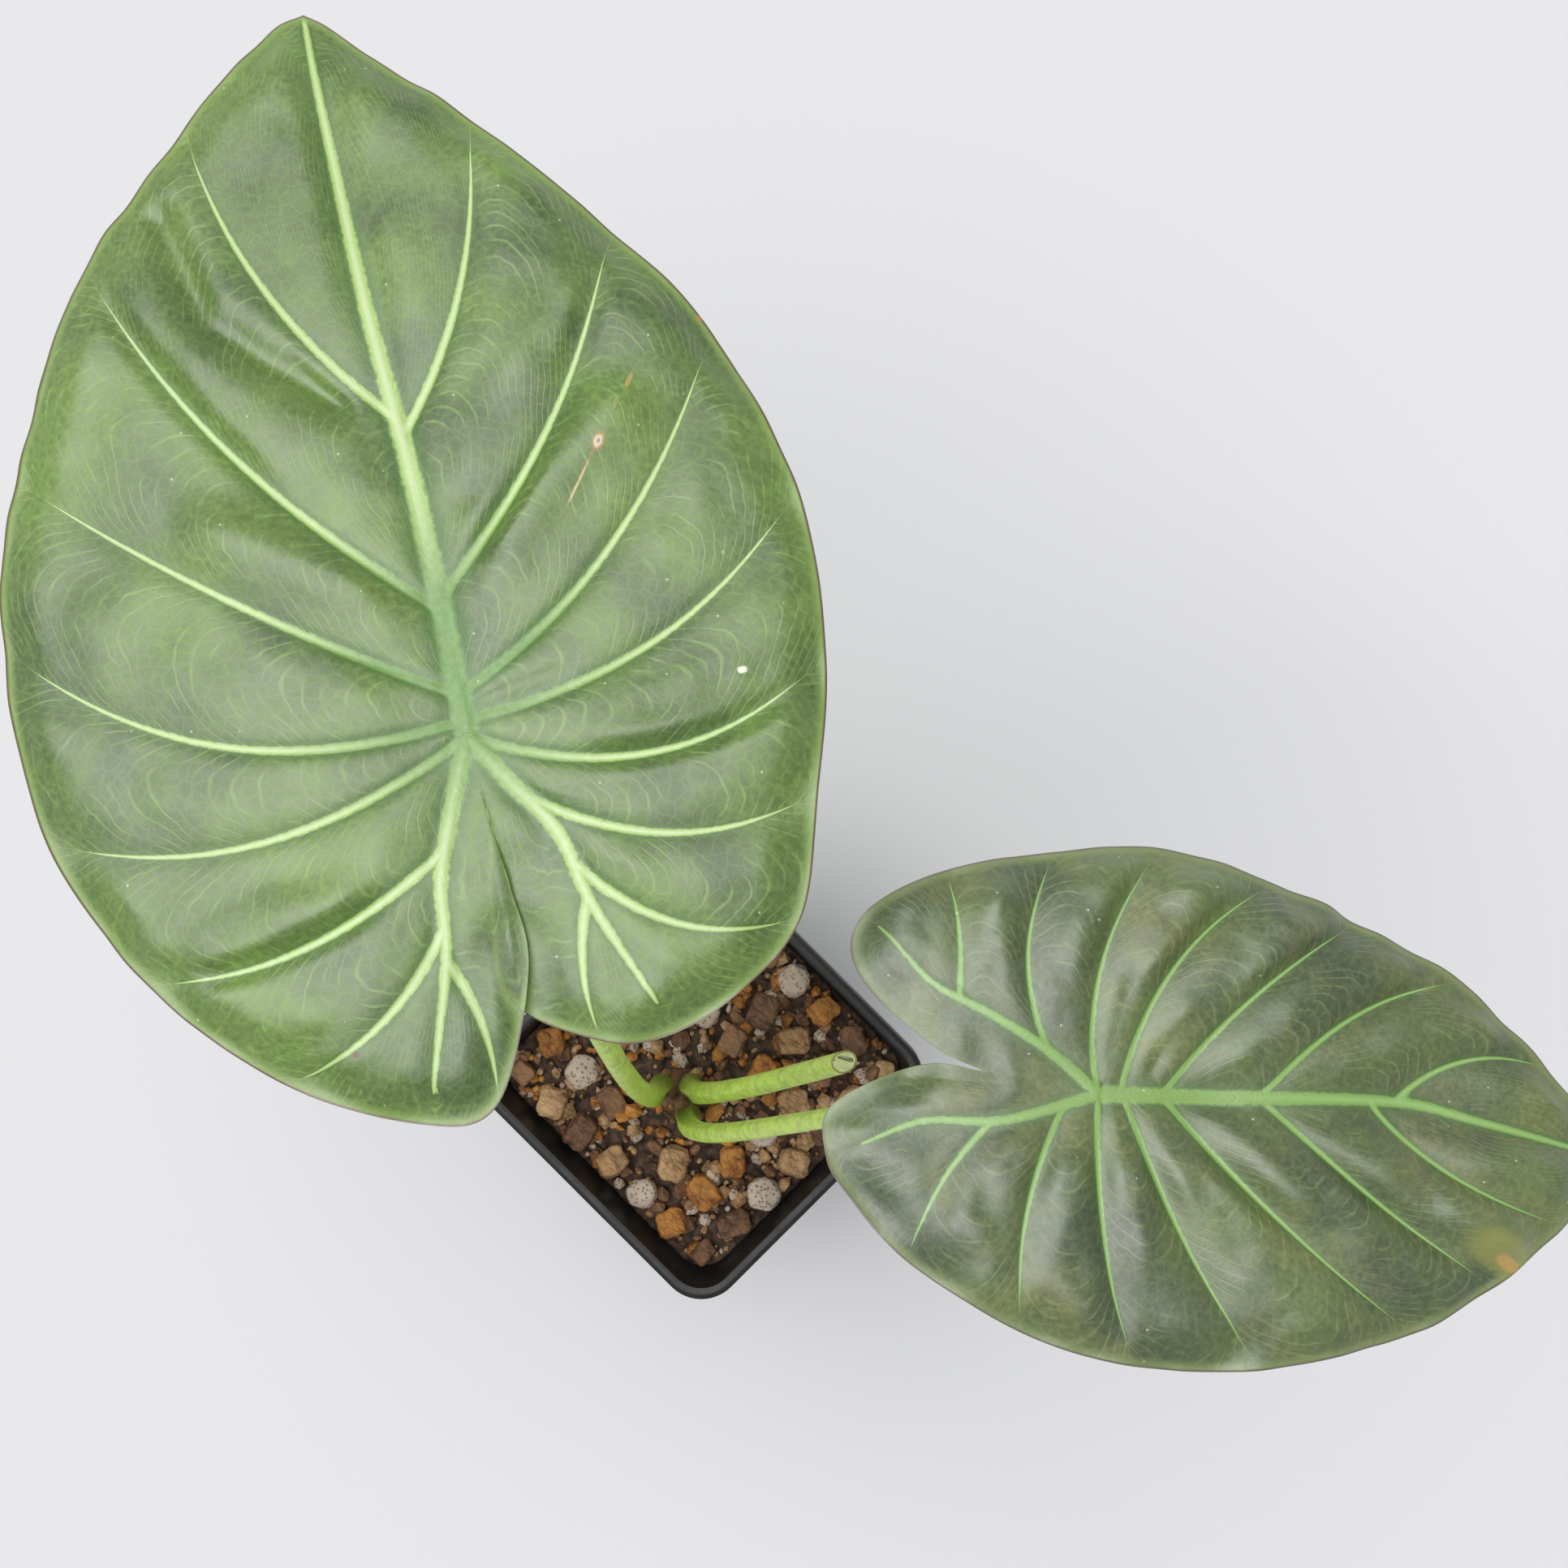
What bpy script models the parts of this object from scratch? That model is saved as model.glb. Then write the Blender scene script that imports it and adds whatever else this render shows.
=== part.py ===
# Potted alocasia: a young plant with two leaves and one cut stalk, rooted in a square nursery pot.
# Metres, +Z up. The origin is the centre of the pot's underside, and the pot's sides lie along X and Y.
# The plant grows towards two of the pot's corners, so its parts hang on an empty turned 45 degrees.

import math
import random

import bmesh
import bpy
from mathutils import Euler, Matrix, Vector
from mathutils.geometry import interpolate_bezier

MM = 0.001
SEAT_GAP = 0.0003

# Pot
POT_MOUTH = 0.100
POT_BASE = 0.070
POT_HEIGHT = 0.090
POT_WALL = 0.0010
POT_CORNER = 0.011
BASE_ROUND = 0.0025
RIM_REACH = 0.0022
RIM_DROP = 0.0070
DRAIN_RADIUS = 0.0040
DRAIN_INSET = 0.0125

# Substrate and the chips that lie on it
SOIL_DEPTH_BELOW_RIM = 0.0130
CHIP_GRID = 7
CHIP_GAP = 0.0006
CHIP_SHIFT = 0.0005
CHIP_SIZES = (0.86, 1.0)
CHIP_HEIGHTS = (0.8, 1.15)
CHIP_KINDS = {
    "b": ("bark_chip", (0.9, 0.72, 0.42), (0.20, 0.105, 0.045)),
    "t": ("bark_chip_tan", (0.9, 0.78, 0.46), (0.39, 0.24, 0.115)),
    "o": ("bark_chip_amber", (0.9, 0.74, 0.45), (0.36, 0.155, 0.035)),
    "p": ("pumice", (0.86, 0.8, 0.48), (0.60, 0.47, 0.36)),
}
# One letter for each cell of the grid: the first row lies along the pot's -Y wall, from -X to +X.
CHIP_ROWS = (
    "btbtpob",
    "opbptob",
    "tbtbtop",
    "bobtbpt",
    "tbpbotb",
    "btobtbt",
    "ptbpobt",
)

# Foot of the plant
CORM_RADIUS = 0.0100
CORM_HEIGHT = 0.0260
CORM_PROUD = 0.0030
CORM_BELLY = 0.62  # half height of the whole corm before its top is cut flat, in corm heights
ROOT_COUNT = 5
ROOT_START = 0.45  # how far out a root leaves the corm, in corm radii
ROOT_LEVEL_RUN = 0.014
ROOT_RADIUS = 0.0016
ROOT_DROP = 0.0330
ROOT_SPREAD = 0.0240
PLANT_TURN = 45.0
FOOT = (-0.0070, -0.0070)

# Stalks: foot on the corm, relative to FOOT, and the radii at foot, above the sheath and at the top.
# The stub's end stands over the substrate, in the plant's frame.
SHEATH_LENGTH = 0.055
STALK_RISE = 0.30  # upright and arriving handles of a stalk's curve, in spans from foot to top
STALK_SWING = 0.35
STALK_LEAN = 0.45  # forward lean of a leaf's stalk where it meets the blade
LARGE_FOOT = (-0.0055, 0.0030)
LARGE_RADII = (0.0036, 0.0029, 0.0021)
SMALL_FOOT = (0.0028, -0.0056)
SMALL_RADII = (0.0034, 0.0026, 0.0019)
STUB_FOOT = (0.0035, 0.0035)
STUB_RADII = (0.0033, 0.0028, 0.0026)
STUB_END = (0.0385, 0.0210, 0.1030)
STUB_CUT_TILT = 35.0

# Blades: hub in the plant's frame with its height over the substrate, heading of the midrib, tilt,
# size and thickness
BLADE_THICKNESS = 0.0008
HUB_FLAT = 15.0  # the vault of a blade fades out this near its hub, in plan millimetres
LARGE_HUB = (-0.0268, 0.0944, 0.2170)
LARGE_HEADING = 13.0
LARGE_PITCH = 9.0
LARGE_ROLL = 4.0
LARGE_LENGTH = 0.1396
SMALL_HUB = (0.0797, 0.0320, 0.1950)
SMALL_HEADING = -97.0
SMALL_PITCH = 7.0
SMALL_ROLL = -14.0
SMALL_LENGTH = 0.1049
COLUMN_STEP = 0.07
BLADE_ROWS = 6

# A blade's plan, in millimetres with the hub at 0, 0 and the tip at +Y. Each rib is a curve from the
# hub: fraction of its length, then x and y. Each half lists its side veins from the tip, round the
# lobe, to the notch: rib, fraction where the vein leaves it, its middle and its end on the margin.
LARGE_PLAN = {
    "length": 139.6,
    "droop": (9.0, 4.0, 62.0),
    "vault": (0.10, 0.0021),
    "ribs": {
        "midrib": ((0, 0, 0), (0.3, -0.6, 41.5), (0.6, -3.3, 83), (1, -5, 139.6)),
        "left_rib": ((0, 0, 0), (0.23, -5, -12.5), (0.43, -8.5, -23), (0.66, -10, -35), (1, -16, -54.5)),
        "right_rib": ((0, 0, 0), (0.17, 4.5, -8), (0.38, 11, -18.5), (0.62, 14, -31), (1, 21.5, -51)),
    },
    "left": (
        ("midrib", 1, (-5, 139.6), (-5, 139.6)),
        ("midrib", 0.67, (-11, 112.5), (-17.5, 131)),
        ("midrib", 0.41, (-20, 86), (-28.5, 121.5)),
        ("midrib", 0.155, (-29.5, 55.5), (-49, 96)),
        ("midrib", 0.05, (-33.5, 30), (-66, 60)),
        ("midrib", 0.02, (-39, 6.5), (-72, 32)),
        ("midrib", 0, (-35, -10.5), (-69.5, -2)),
        ("left_rib", 0.33, (-31.5, -28.5), (-57, -28)),
        ("left_rib", 0.57, (-22.5, -43), (-39, -48)),
        ("left_rib", 1, (-17.5, -57), (-19, -59)),
        ("left_rib", 0.66, (-6.5, -46.5), (-7, -58.5)),
        ("left_rib", 0.45, (-3, -31.5), (2, -39.5)),
        ("left_rib", 0.18, (-0.5, -15.5), (2, -25.5)),
        ("left_rib", 0, (0.5, -8), (1, -16)),
    ),
    "right": (
        ("midrib", 1, (-5, 139.6), (-5, 139.6)),
        ("midrib", 0.67, (3.5, 109), (10, 125)),
        ("midrib", 0.385, (14, 80), (21, 113.5)),
        ("midrib", 0.17, (24, 50), (41, 85)),
        ("midrib", 0.05, (30.5, 27.5), (54, 62)),
        ("midrib", 0.02, (33.5, 9), (62, 30.5)),
        ("midrib", 0, (30, -9.5), (60, 1)),
        ("right_rib", 0.25, (29.5, -23), (53.5, -21)),
        ("right_rib", 0.49, (27.5, -37.5), (46.5, -40)),
        ("right_rib", 0.78, (25.5, -45.5), (34.5, -49.5)),
        ("right_rib", 1, (21.5, -52.5), (21.5, -54)),
        ("right_rib", 0.6, (10.5, -41), (11, -52.5)),
        ("right_rib", 0.36, (7, -30.5), (3.5, -43.5)),
        ("right_rib", 0.18, (4.5, -18.5), (4, -29)),
        ("right_rib", 0, (0.5, -8), (1, -16)),
    ),
}
SMALL_PLAN = {
    "length": 104.9,
    "droop": (6.0, 3.0, 48.0),
    "vault": (0.10, 0.0028),
    "ribs": {
        "midrib": ((0, 0, 0), (0.21, -1.5, 22), (0.54, -4, 56.5), (0.7, -2, 73.5), (1, 2.4, 104.9)),
        "left_rib": ((0, 0, 0), (0.22, -6.5, -9.5), (0.46, -12, -21), (0.7, -16.5, -31.5), (1, -27, -43)),
        "right_rib": ((0, 0, 0), (0.27, 4.5, -12), (0.43, 6.5, -19.5), (0.68, 7.5, -31), (1, 13.5, -44.5)),
    },
    "left": (
        ("midrib", 1, (2.4, 104.9), (2.4, 104.9)),
        ("midrib", 0.79, (-5, 89), (-6, 97.5)),
        ("midrib", 0.54, (-13, 71.5), (-13, 89.5)),
        ("midrib", 0.29, (-18.5, 48), (-27.5, 71)),
        ("midrib", 0.12, (-20, 28), (-36.5, 50)),
        ("midrib", 0.04, (-24, 13), (-42, 33.5)),
        ("midrib", 0, (-22.5, -1), (-46, 10.5)),
        ("left_rib", 0.22, (-23.5, -14.5), (-43, -9)),
        ("left_rib", 0.58, (-26, -27), (-37.5, -29)),
        ("left_rib", 1, (-27.5, -43), (-28, -43.5)),
        ("left_rib", 0.7, (-16, -37.5), (-17, -44)),
        ("left_rib", 0.4, (-8, -23), (-5.5, -30)),
        ("left_rib", 0, (-1, -10.5), (-2, -21)),
    ),
    "right": (
        ("midrib", 1, (2.4, 104.9), (2.4, 104.9)),
        ("midrib", 0.79, (3.5, 90.5), (8, 99)),
        ("midrib", 0.48, (8.5, 68), (15, 91.5)),
        ("midrib", 0.29, (13.5, 51.5), (27, 76.5)),
        ("midrib", 0.12, (19.5, 34.5), (36, 60.5)),
        ("midrib", 0.045, (23, 16), (44, 32)),
        ("midrib", 0, (23.5, 1.5), (45, 9)),
        ("right_rib", 0.13, (22, -12.5), (41, -11)),
        ("right_rib", 0.42, (18, -27.5), (31, -31.5)),
        ("right_rib", 0.79, (14.5, -38.5), (21.5, -42)),
        ("right_rib", 1, (14.5, -45.5), (15, -47)),
        ("right_rib", 0.68, (6.5, -38.5), (6, -46.5)),
        ("right_rib", 0.42, (3.5, -25.5), (-2, -32)),
        ("right_rib", 0, (-1, -10.5), (-2, -21)),
    ),
}


def clear_scene():
    for old in list(bpy.data.objects):
        bpy.data.objects.remove(old, do_unlink=True)


def new_collection(name):
    collection = bpy.data.collections.new(name)
    bpy.context.scene.collection.children.link(collection)
    return collection


def principled(name, colour, roughness, metallic=0.0):
    material = bpy.data.materials.new(name)
    material.use_nodes = True
    shader = material.node_tree.nodes["Principled BSDF"]
    shader.inputs["Base Color"].default_value = (*colour, 1.0)
    shader.inputs["Roughness"].default_value = roughness
    shader.inputs["Metallic"].default_value = metallic
    material.diffuse_color = (*colour, 1.0)
    return material


def mesh_object(name, bm, collection, material=None):
    mesh = bpy.data.meshes.new(name)
    bm.to_mesh(mesh)
    bm.free()
    obj = bpy.data.objects.new(name, mesh)
    collection.objects.link(obj)
    if material:
        mesh.materials.append(material)
    return obj


def as_cutter(obj):
    obj.hide_render = True
    obj.display_type = "WIRE"


def add_boolean(obj, other, operation):
    modifier = obj.modifiers.new(operation.lower(), "BOOLEAN")
    modifier.operation = operation
    modifier.solver = "EXACT"
    modifier.object = other


def bake(obj):
    """Replace an object's mesh by its evaluated one, with curves made into meshes."""
    graph = bpy.context.evaluated_depsgraph_get()
    mesh = bpy.data.meshes.new_from_object(obj.evaluated_get(graph))
    fresh = bpy.data.objects.new(obj.name, mesh)
    fresh.matrix_world = obj.matrix_world.copy()
    for collection in obj.users_collection:
        collection.objects.link(fresh)
    name = obj.name
    bpy.data.objects.remove(obj, do_unlink=True)
    fresh.name = name
    bm = bmesh.new()
    bm.from_mesh(mesh)
    bmesh.ops.remove_doubles(bm, verts=bm.verts, dist=1e-6)
    bmesh.ops.recalc_face_normals(bm, faces=bm.faces)
    bm.to_mesh(mesh)
    bm.free()
    return fresh


# Pot and substrate

def wall_width(height):
    """Outer width of the pot's wall at a height above its underside."""
    top = POT_MOUTH - 2 * RIM_REACH
    return POT_BASE + (top - POT_BASE) * height / POT_HEIGHT


def inner_width(height):
    slope = math.atan2((wall_width(POT_HEIGHT) - POT_BASE) / 2, POT_HEIGHT)
    return wall_width(height) - 2 * POT_WALL / math.cos(slope)


def tapered_block(low, high, low_width, high_width):
    """Upright square block with rounded corners and a rounded lower edge."""
    bm = bmesh.new()
    bmesh.ops.create_cube(bm, size=1.0)
    for vert in bm.verts:
        top = vert.co.z > 0
        width = high_width if top else low_width
        vert.co = Vector((vert.co.x * width, vert.co.y * width, high if top else low))
    uprights = [e for e in bm.edges if abs(e.verts[0].co.z - e.verts[1].co.z) > (high - low) / 2]
    bmesh.ops.bevel(bm, geom=uprights, offset=POT_CORNER, segments=5, profile=0.5, affect="EDGES")
    lower = [e for e in bm.edges if all(abs(v.co.z - low) < 1e-6 for v in e.verts)]
    bmesh.ops.bevel(bm, geom=lower, offset=BASE_ROUND, segments=2, profile=0.5, affect="EDGES")
    return bm


def make_pot(parts, cutters):
    # The modelled surface is the outside of the wall and the inside of the rolled rim.
    top = POT_HEIGHT - POT_WALL
    bm = tapered_block(0.0, top, POT_BASE, wall_width(top))
    lid = [f for f in bm.faces if all(abs(v.co.z - top) < 1e-6 for v in f.verts)]
    bmesh.ops.delete(bm, geom=lid, context="FACES_ONLY")
    rim = [e for e in bm.edges if e.is_boundary]
    for reach, drop in ((RIM_REACH - POT_WALL, 0.0), (0.0, RIM_DROP - POT_WALL)):
        grown = bmesh.ops.extrude_edge_only(bm, edges=rim)["geom"]
        ring = [v for v in grown if isinstance(v, bmesh.types.BMVert)]
        half = max(v.co.x for v in ring)
        for vert in ring:
            vert.co.x *= (half + reach) / half
            vert.co.y *= (half + reach) / half
            vert.co.z -= drop
        rim = [e for e in grown if isinstance(e, bmesh.types.BMEdge)]
    bmesh.ops.recalc_face_normals(bm, faces=bm.faces)
    bm.normal_update()
    floor = min(bm.faces, key=lambda f: f.calc_center_median().z)
    if floor.normal.z > 0:
        bmesh.ops.reverse_faces(bm, faces=bm.faces)
    pot = mesh_object("pot", bm, parts, principled("black_plastic", (0.018, 0.018, 0.019), 0.42))
    shell = pot.modifiers.new("wall", "SOLIDIFY")
    shell.thickness = POT_WALL
    shell.offset = -1.0
    shell.use_even_offset = True
    bm = bmesh.new()
    offset = POT_BASE / 2 - DRAIN_INSET
    for x in (-offset, offset):
        for y in (-offset, offset):
            bmesh.ops.create_cone(bm, cap_ends=True, segments=16, radius1=DRAIN_RADIUS,
                                  radius2=DRAIN_RADIUS, depth=6 * POT_WALL,
                                  matrix=Matrix.Translation((x, y, 0.0)))
    drains = mesh_object("drain_cutter", bm, cutters)
    as_cutter(drains)
    add_boolean(pot, drains, "DIFFERENCE")


def soil_level():
    return POT_HEIGHT - SOIL_DEPTH_BELOW_RIM


def over_soil(place):
    """A place given with its height over the substrate."""
    return Vector((place[0], place[1], soil_level() + place[2]))


def make_substrate(parts, well):
    low = POT_WALL + SEAT_GAP
    high = soil_level()
    bm = tapered_block(low, high, inner_width(low) - 2 * SEAT_GAP, inner_width(high) - 2 * SEAT_GAP)
    bmesh.ops.recalc_face_normals(bm, faces=bm.faces)
    substrate = mesh_object("substrate", bm, parts, principled("potting_mix", (0.07, 0.045, 0.028), 0.95))
    add_boolean(substrate, well, "DIFFERENCE")


def chip_mesh(kind, radius, height, source):
    """A lump on a flat bed: a rough box for bark, a rough ball for pumice, trimmed to its radius."""
    bm = bmesh.new()
    width, depth, thick = CHIP_KINDS[kind][1]
    if kind == "p":
        bmesh.ops.create_icosphere(bm, subdivisions=1, radius=1.0)
    else:
        bmesh.ops.create_cube(bm, size=1.4)
        bmesh.ops.bevel(bm, geom=bm.edges[:], offset=0.22, segments=1, affect="EDGES")
    for vert in bm.verts:
        vert.co *= source.uniform(0.9, 1.0)
        vert.co = Vector((vert.co.x * width, vert.co.y * depth, vert.co.z * thick * height))
    bmesh.ops.delete(bm, geom=bm.edges[:], context="EDGES_FACES")
    hull = bmesh.ops.convex_hull(bm, input=bm.verts[:])
    loose = [g for g in hull["geom_interior"] if isinstance(g, bmesh.types.BMVert)]
    bmesh.ops.delete(bm, geom=loose, context="VERTS")
    tilt = Euler((source.uniform(-0.2, 0.2), source.uniform(-0.2, 0.2), source.uniform(0, math.tau)))
    bmesh.ops.rotate(bm, verts=bm.verts, matrix=tilt.to_matrix())
    reach = max(v.co.xy.length for v in bm.verts)
    bmesh.ops.scale(bm, verts=bm.verts, vec=(radius / reach,) * 3)
    lowest = min(v.co.z for v in bm.verts)
    bmesh.ops.translate(bm, verts=bm.verts, vec=(0, 0, -lowest))
    bmesh.ops.recalc_face_normals(bm, faces=bm.faces)
    return bm


def room_to_wall(centre):
    """Distance from a place on the substrate to the pot's wall or to its rounded corner."""
    half = inner_width(soil_level()) / 2
    arc = POT_CORNER - POT_WALL
    into_corner = Vector((abs(centre.x) - half + arc, abs(centre.y) - half + arc))
    if min(into_corner) > 0:
        return arc - into_corner.length
    return half - max(abs(centre.x), abs(centre.y))


def make_top_dressing(parts):
    """Chips on a square grid over the substrate, with the cells round the corm left free."""
    source = random.Random(11)
    shades = {key: principled(name, colour, 0.85) for key, (name, size, colour) in CHIP_KINDS.items()}
    pitch = inner_width(soil_level()) / CHIP_GRID
    middle = (CHIP_GRID - 1) / 2
    reach = pitch / 2 - CHIP_GAP / 2 - CHIP_SHIFT
    foot = Matrix.Rotation(math.radians(PLANT_TURN), 2) @ Vector(FOOT)
    counts = {}
    for row, letters in enumerate(CHIP_ROWS):
        for column, kind in enumerate(letters):
            centre = Vector((column - middle, row - middle)) * pitch
            clear = CORM_RADIUS + reach + CHIP_SHIFT + CHIP_GAP
            size = source.uniform(*CHIP_SIZES)
            tall = source.uniform(*CHIP_HEIGHTS)
            shift = Vector((source.uniform(-1, 1), source.uniform(-1, 1))) * CHIP_SHIFT * 0.7
            if (centre - foot).length < clear:
                continue
            radius = size * min(reach, room_to_wall(centre) - CHIP_SHIFT - CHIP_GAP / 2)
            label = CHIP_KINDS[kind][0]
            counts[label] = counts.get(label, 0) + 1
            name = f"{label}_{counts[label]:02d}"
            chip = mesh_object(name, chip_mesh(kind, radius, tall, source), parts, shades[kind])
            chip.location = (*(centre + shift), soil_level() + SEAT_GAP)


# Corm and stalks

def corm_body(name, collection, margin):
    """Corm with its roots, grown outwards by a margin on every side."""
    radius = CORM_RADIUS + margin
    bm = bmesh.new()
    bmesh.ops.create_uvsphere(bm, u_segments=16, v_segments=10, radius=1.0)
    middle = soil_level() + CORM_PROUD - CORM_HEIGHT / 2
    for vert in bm.verts:
        vert.co.x *= radius
        vert.co.y *= radius
        vert.co.z = middle + vert.co.z * (CORM_HEIGHT * CORM_BELLY + margin)
    cut = bmesh.ops.bisect_plane(bm, geom=bm.verts[:] + bm.edges[:] + bm.faces[:],
                                 plane_co=(0, 0, soil_level() + CORM_PROUD + margin),
                                 plane_no=(0, 0, 1), clear_outer=True)
    bmesh.ops.holes_fill(bm, edges=[e for e in cut["geom_cut"] if isinstance(e, bmesh.types.BMEdge)])
    bmesh.ops.recalc_face_normals(bm, faces=bm.faces)
    corm = mesh_object(name, bm, collection)
    corm.location = (*FOOT, 0.0)
    for index in range(ROOT_COUNT):
        turn = math.tau * (index + 0.3) / ROOT_COUNT
        way = Vector((math.cos(turn), math.sin(turn), 0))
        start = way * CORM_RADIUS * ROOT_START + Vector((0, 0, middle))
        drop = Vector((0, 0, -ROOT_DROP * (1 - 0.08 * index)))
        end = start + way * ROOT_SPREAD * (0.8 + 0.05 * index) + drop
        route = interpolate_bezier(start, start + way * ROOT_LEVEL_RUN, end - drop * 0.5, end, 7)
        route[-1] += margin * (route[-1] - route[-2]).normalized()
        root = tube(f"{name}_root", route, [ROOT_RADIUS * (1 - 0.05 * i) + margin for i in range(7)],
                    collection)
        root.location = corm.location
        bpy.context.view_layer.update()
        add_boolean(corm, root, "UNION")
        bpy.context.view_layer.update()
        corm = bake(corm)
        bpy.data.objects.remove(root, do_unlink=True)
    return corm


def tube(name, route, radii, collection):
    """Round tube through the route's points with its own radius at each, as a closed mesh."""
    curve = bpy.data.curves.new(name, "CURVE")
    curve.dimensions = "3D"
    curve.bevel_depth = radii[0]
    curve.bevel_resolution = 4
    curve.use_fill_caps = True
    spline = curve.splines.new("POLY")
    spline.points.add(len(route) - 1)
    for point, place, radius in zip(spline.points, route, radii):
        point.co = (*place, 1.0)
        point.radius = radius / radii[0]
    obj = bpy.data.objects.new(name, curve)
    collection.objects.link(obj)
    bpy.context.view_layer.update()
    return bake(obj)


def stalk_route(foot, end, arrival, count=26):
    """A stalk that rises upright from the corm and swings over to its end."""
    start = Vector((FOOT[0] + foot[0], FOOT[1] + foot[1], soil_level() + CORM_PROUD + SEAT_GAP))
    end = Vector(end)
    span = (end - start).length
    return interpolate_bezier(start, start + Vector((0, 0, span * STALK_RISE)),
                              end - arrival.normalized() * span * STALK_SWING, end, count)


def stalk_radii(route, radii):
    """Radius at each point: the sheathing foot narrows quickly, the rest slowly."""
    foot, neck, top = radii
    lengths = [0.0]
    for first, second in zip(route, route[1:]):
        lengths.append(lengths[-1] + (second - first).length)
    result = []
    for length in lengths:
        sheath = min(1.0, length / SHEATH_LENGTH)
        sheath = sheath * sheath * (3 - 2 * sheath)
        upper = max(0.0, length - SHEATH_LENGTH) / max(lengths[-1] - SHEATH_LENGTH, MM)
        result.append(foot + (neck - foot) * sheath + (top - neck) * upper)
    return result


def trim(obj, place, normal):
    """Cut off everything beyond a plane and close the cut."""
    bm = bmesh.new()
    bm.from_mesh(obj.data)
    cut = bmesh.ops.bisect_plane(bm, geom=bm.verts[:] + bm.edges[:] + bm.faces[:], plane_co=place,
                                 plane_no=normal, clear_outer=True)
    bmesh.ops.holes_fill(bm, edges=[e for e in cut["geom_cut"] if isinstance(e, bmesh.types.BMEdge)])
    bmesh.ops.recalc_face_normals(bm, faces=bm.faces)
    bm.to_mesh(obj.data)
    bm.free()


def make_stalk(name, foot, radii, hub, tilt, parts, plant, material):
    """Stalk of a leaf, cut off parallel to the blade just under its hub."""
    up = tilt @ Vector((0, 0, 1))
    forward = tilt @ Vector((0, 1, 0))
    arrival = up + STALK_LEAN * forward
    under = hub - up * (BLADE_THICKNESS + SEAT_GAP)
    route = stalk_route(foot, under + arrival.normalized() * radii[2], arrival)
    stalk = tube(name, route, stalk_radii(route, radii), parts)
    trim(stalk, under, up)
    stalk.data.materials.append(material)
    stalk.parent = plant


def make_stub(parts, plant, material):
    """Stalk of a removed leaf, cut off at a slant."""
    top = over_soil(STUB_END)
    reach = top - Vector((*FOOT, soil_level()))
    route = stalk_route(STUB_FOOT, top + reach.normalized() * 2 * STUB_RADII[2], reach, 18)
    stub = tube("petiole_stub", route, stalk_radii(route, STUB_RADII), parts)
    side = reach.cross(Vector((0, 0, 1))).normalized()
    slant = Matrix.Rotation(math.radians(STUB_CUT_TILT), 3, side) @ reach.normalized()
    trim(stub, top, slant)
    stub.data.materials.append(material)
    stub.parent = plant


# Blades

def through(points, place):
    """Catmull-Rom curve through points, at a place counted in points from the first."""
    first = min(int(place), len(points) - 2)
    t = place - first
    b, c = points[first], points[first + 1]
    a = points[first - 1] if first else 2 * b - c
    d = points[first + 2] if first + 2 < len(points) else 2 * c - b
    return 0.5 * (2 * b + (c - a) * t + (2 * a - 5 * b + 4 * c - d) * t**2
                  + (3 * b - a - 3 * c + d) * t**3)


def rib_point(rib, fraction):
    """Point of a rib at a fraction of its length from the hub."""
    knots = [k[0] for k in rib]
    index = max(i for i in range(len(rib) - 1) if knots[i] <= fraction)
    part = (fraction - knots[index]) / (knots[index + 1] - knots[index])
    return through([Vector(k[1:]) for k in rib], index + part)


def rib_steps(plan, rib):
    """Fractions at which columns leave a rib: at every vein of both its sides, and between them."""
    veins = sorted({v[1] for side in ("left", "right") for v in plan[side] if v[0] == rib} | {0, 1})
    steps = [0.0]
    for low, high in zip(veins, veins[1:]):
        count = max(1, round((high - low) / COLUMN_STEP))
        steps += [low + (high - low) * i / count for i in range(1, count)] + [high]
    return steps


def blade_height(plan, x, y):
    """Height of the blade over its plane, in millimetres: drooping ends and a vault on each half."""
    tip, lobe, lobe_length = plan["droop"]
    rise, fall = plan["vault"]
    spread = min(1.0, math.hypot(x, y) / HUB_FLAT)
    spread = spread * spread * (3 - 2 * spread)
    height = -tip * max(y, 0.0) ** 2 / plan["length"] ** 2 - lobe * min(y, 0.0) ** 2 / lobe_length**2
    return height + spread * (rise * abs(x) - fall * x * x)


def blade_panel(bm, plan, side, rib):
    """One stretch of a blade half: a grid whose columns run along the veins, from rib to margin."""
    veins = plan[side]
    middles = [Vector(v[2]) for v in veins]
    ends = [Vector(v[3]) for v in veins]
    first = [i for i, v in enumerate(veins) if v[0] == rib]
    runs = []
    for low, high in zip(range(len(veins)), range(1, len(veins))):
        if veins[low][0] == rib and veins[high][0] == rib:
            runs.append((low, high, veins[low][1], veins[high][1]))
        elif veins[high][0] == rib and high == first[0] and veins[low][1] == 0:
            runs.append((low, high, 0, veins[high][1]))
    for low, high, start, stop in runs:
        steps = [s for s in rib_steps(plan, rib) if min(start, stop) <= s <= max(start, stop)]
        grid = bmesh.ops.create_grid(bm, x_segments=len(steps) - 1, y_segments=BLADE_ROWS, size=0.5)
        for vert in grid["verts"]:
            fraction = steps[round((vert.co.x + 0.5) * (len(steps) - 1))]
            r = vert.co.y + 0.5
            place = low + (fraction - start) / (stop - start)
            root = rib_point(plan["ribs"][rib], fraction)
            middle = through(middles, place)
            end = through(ends, place)
            flat = root * (1 - r) * (1 - 2 * r) + middle * 4 * r * (1 - r) + end * r * (2 * r - 1)
            vert.co = (flat.x, flat.y, blade_height(plan, flat.x, flat.y))


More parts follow.
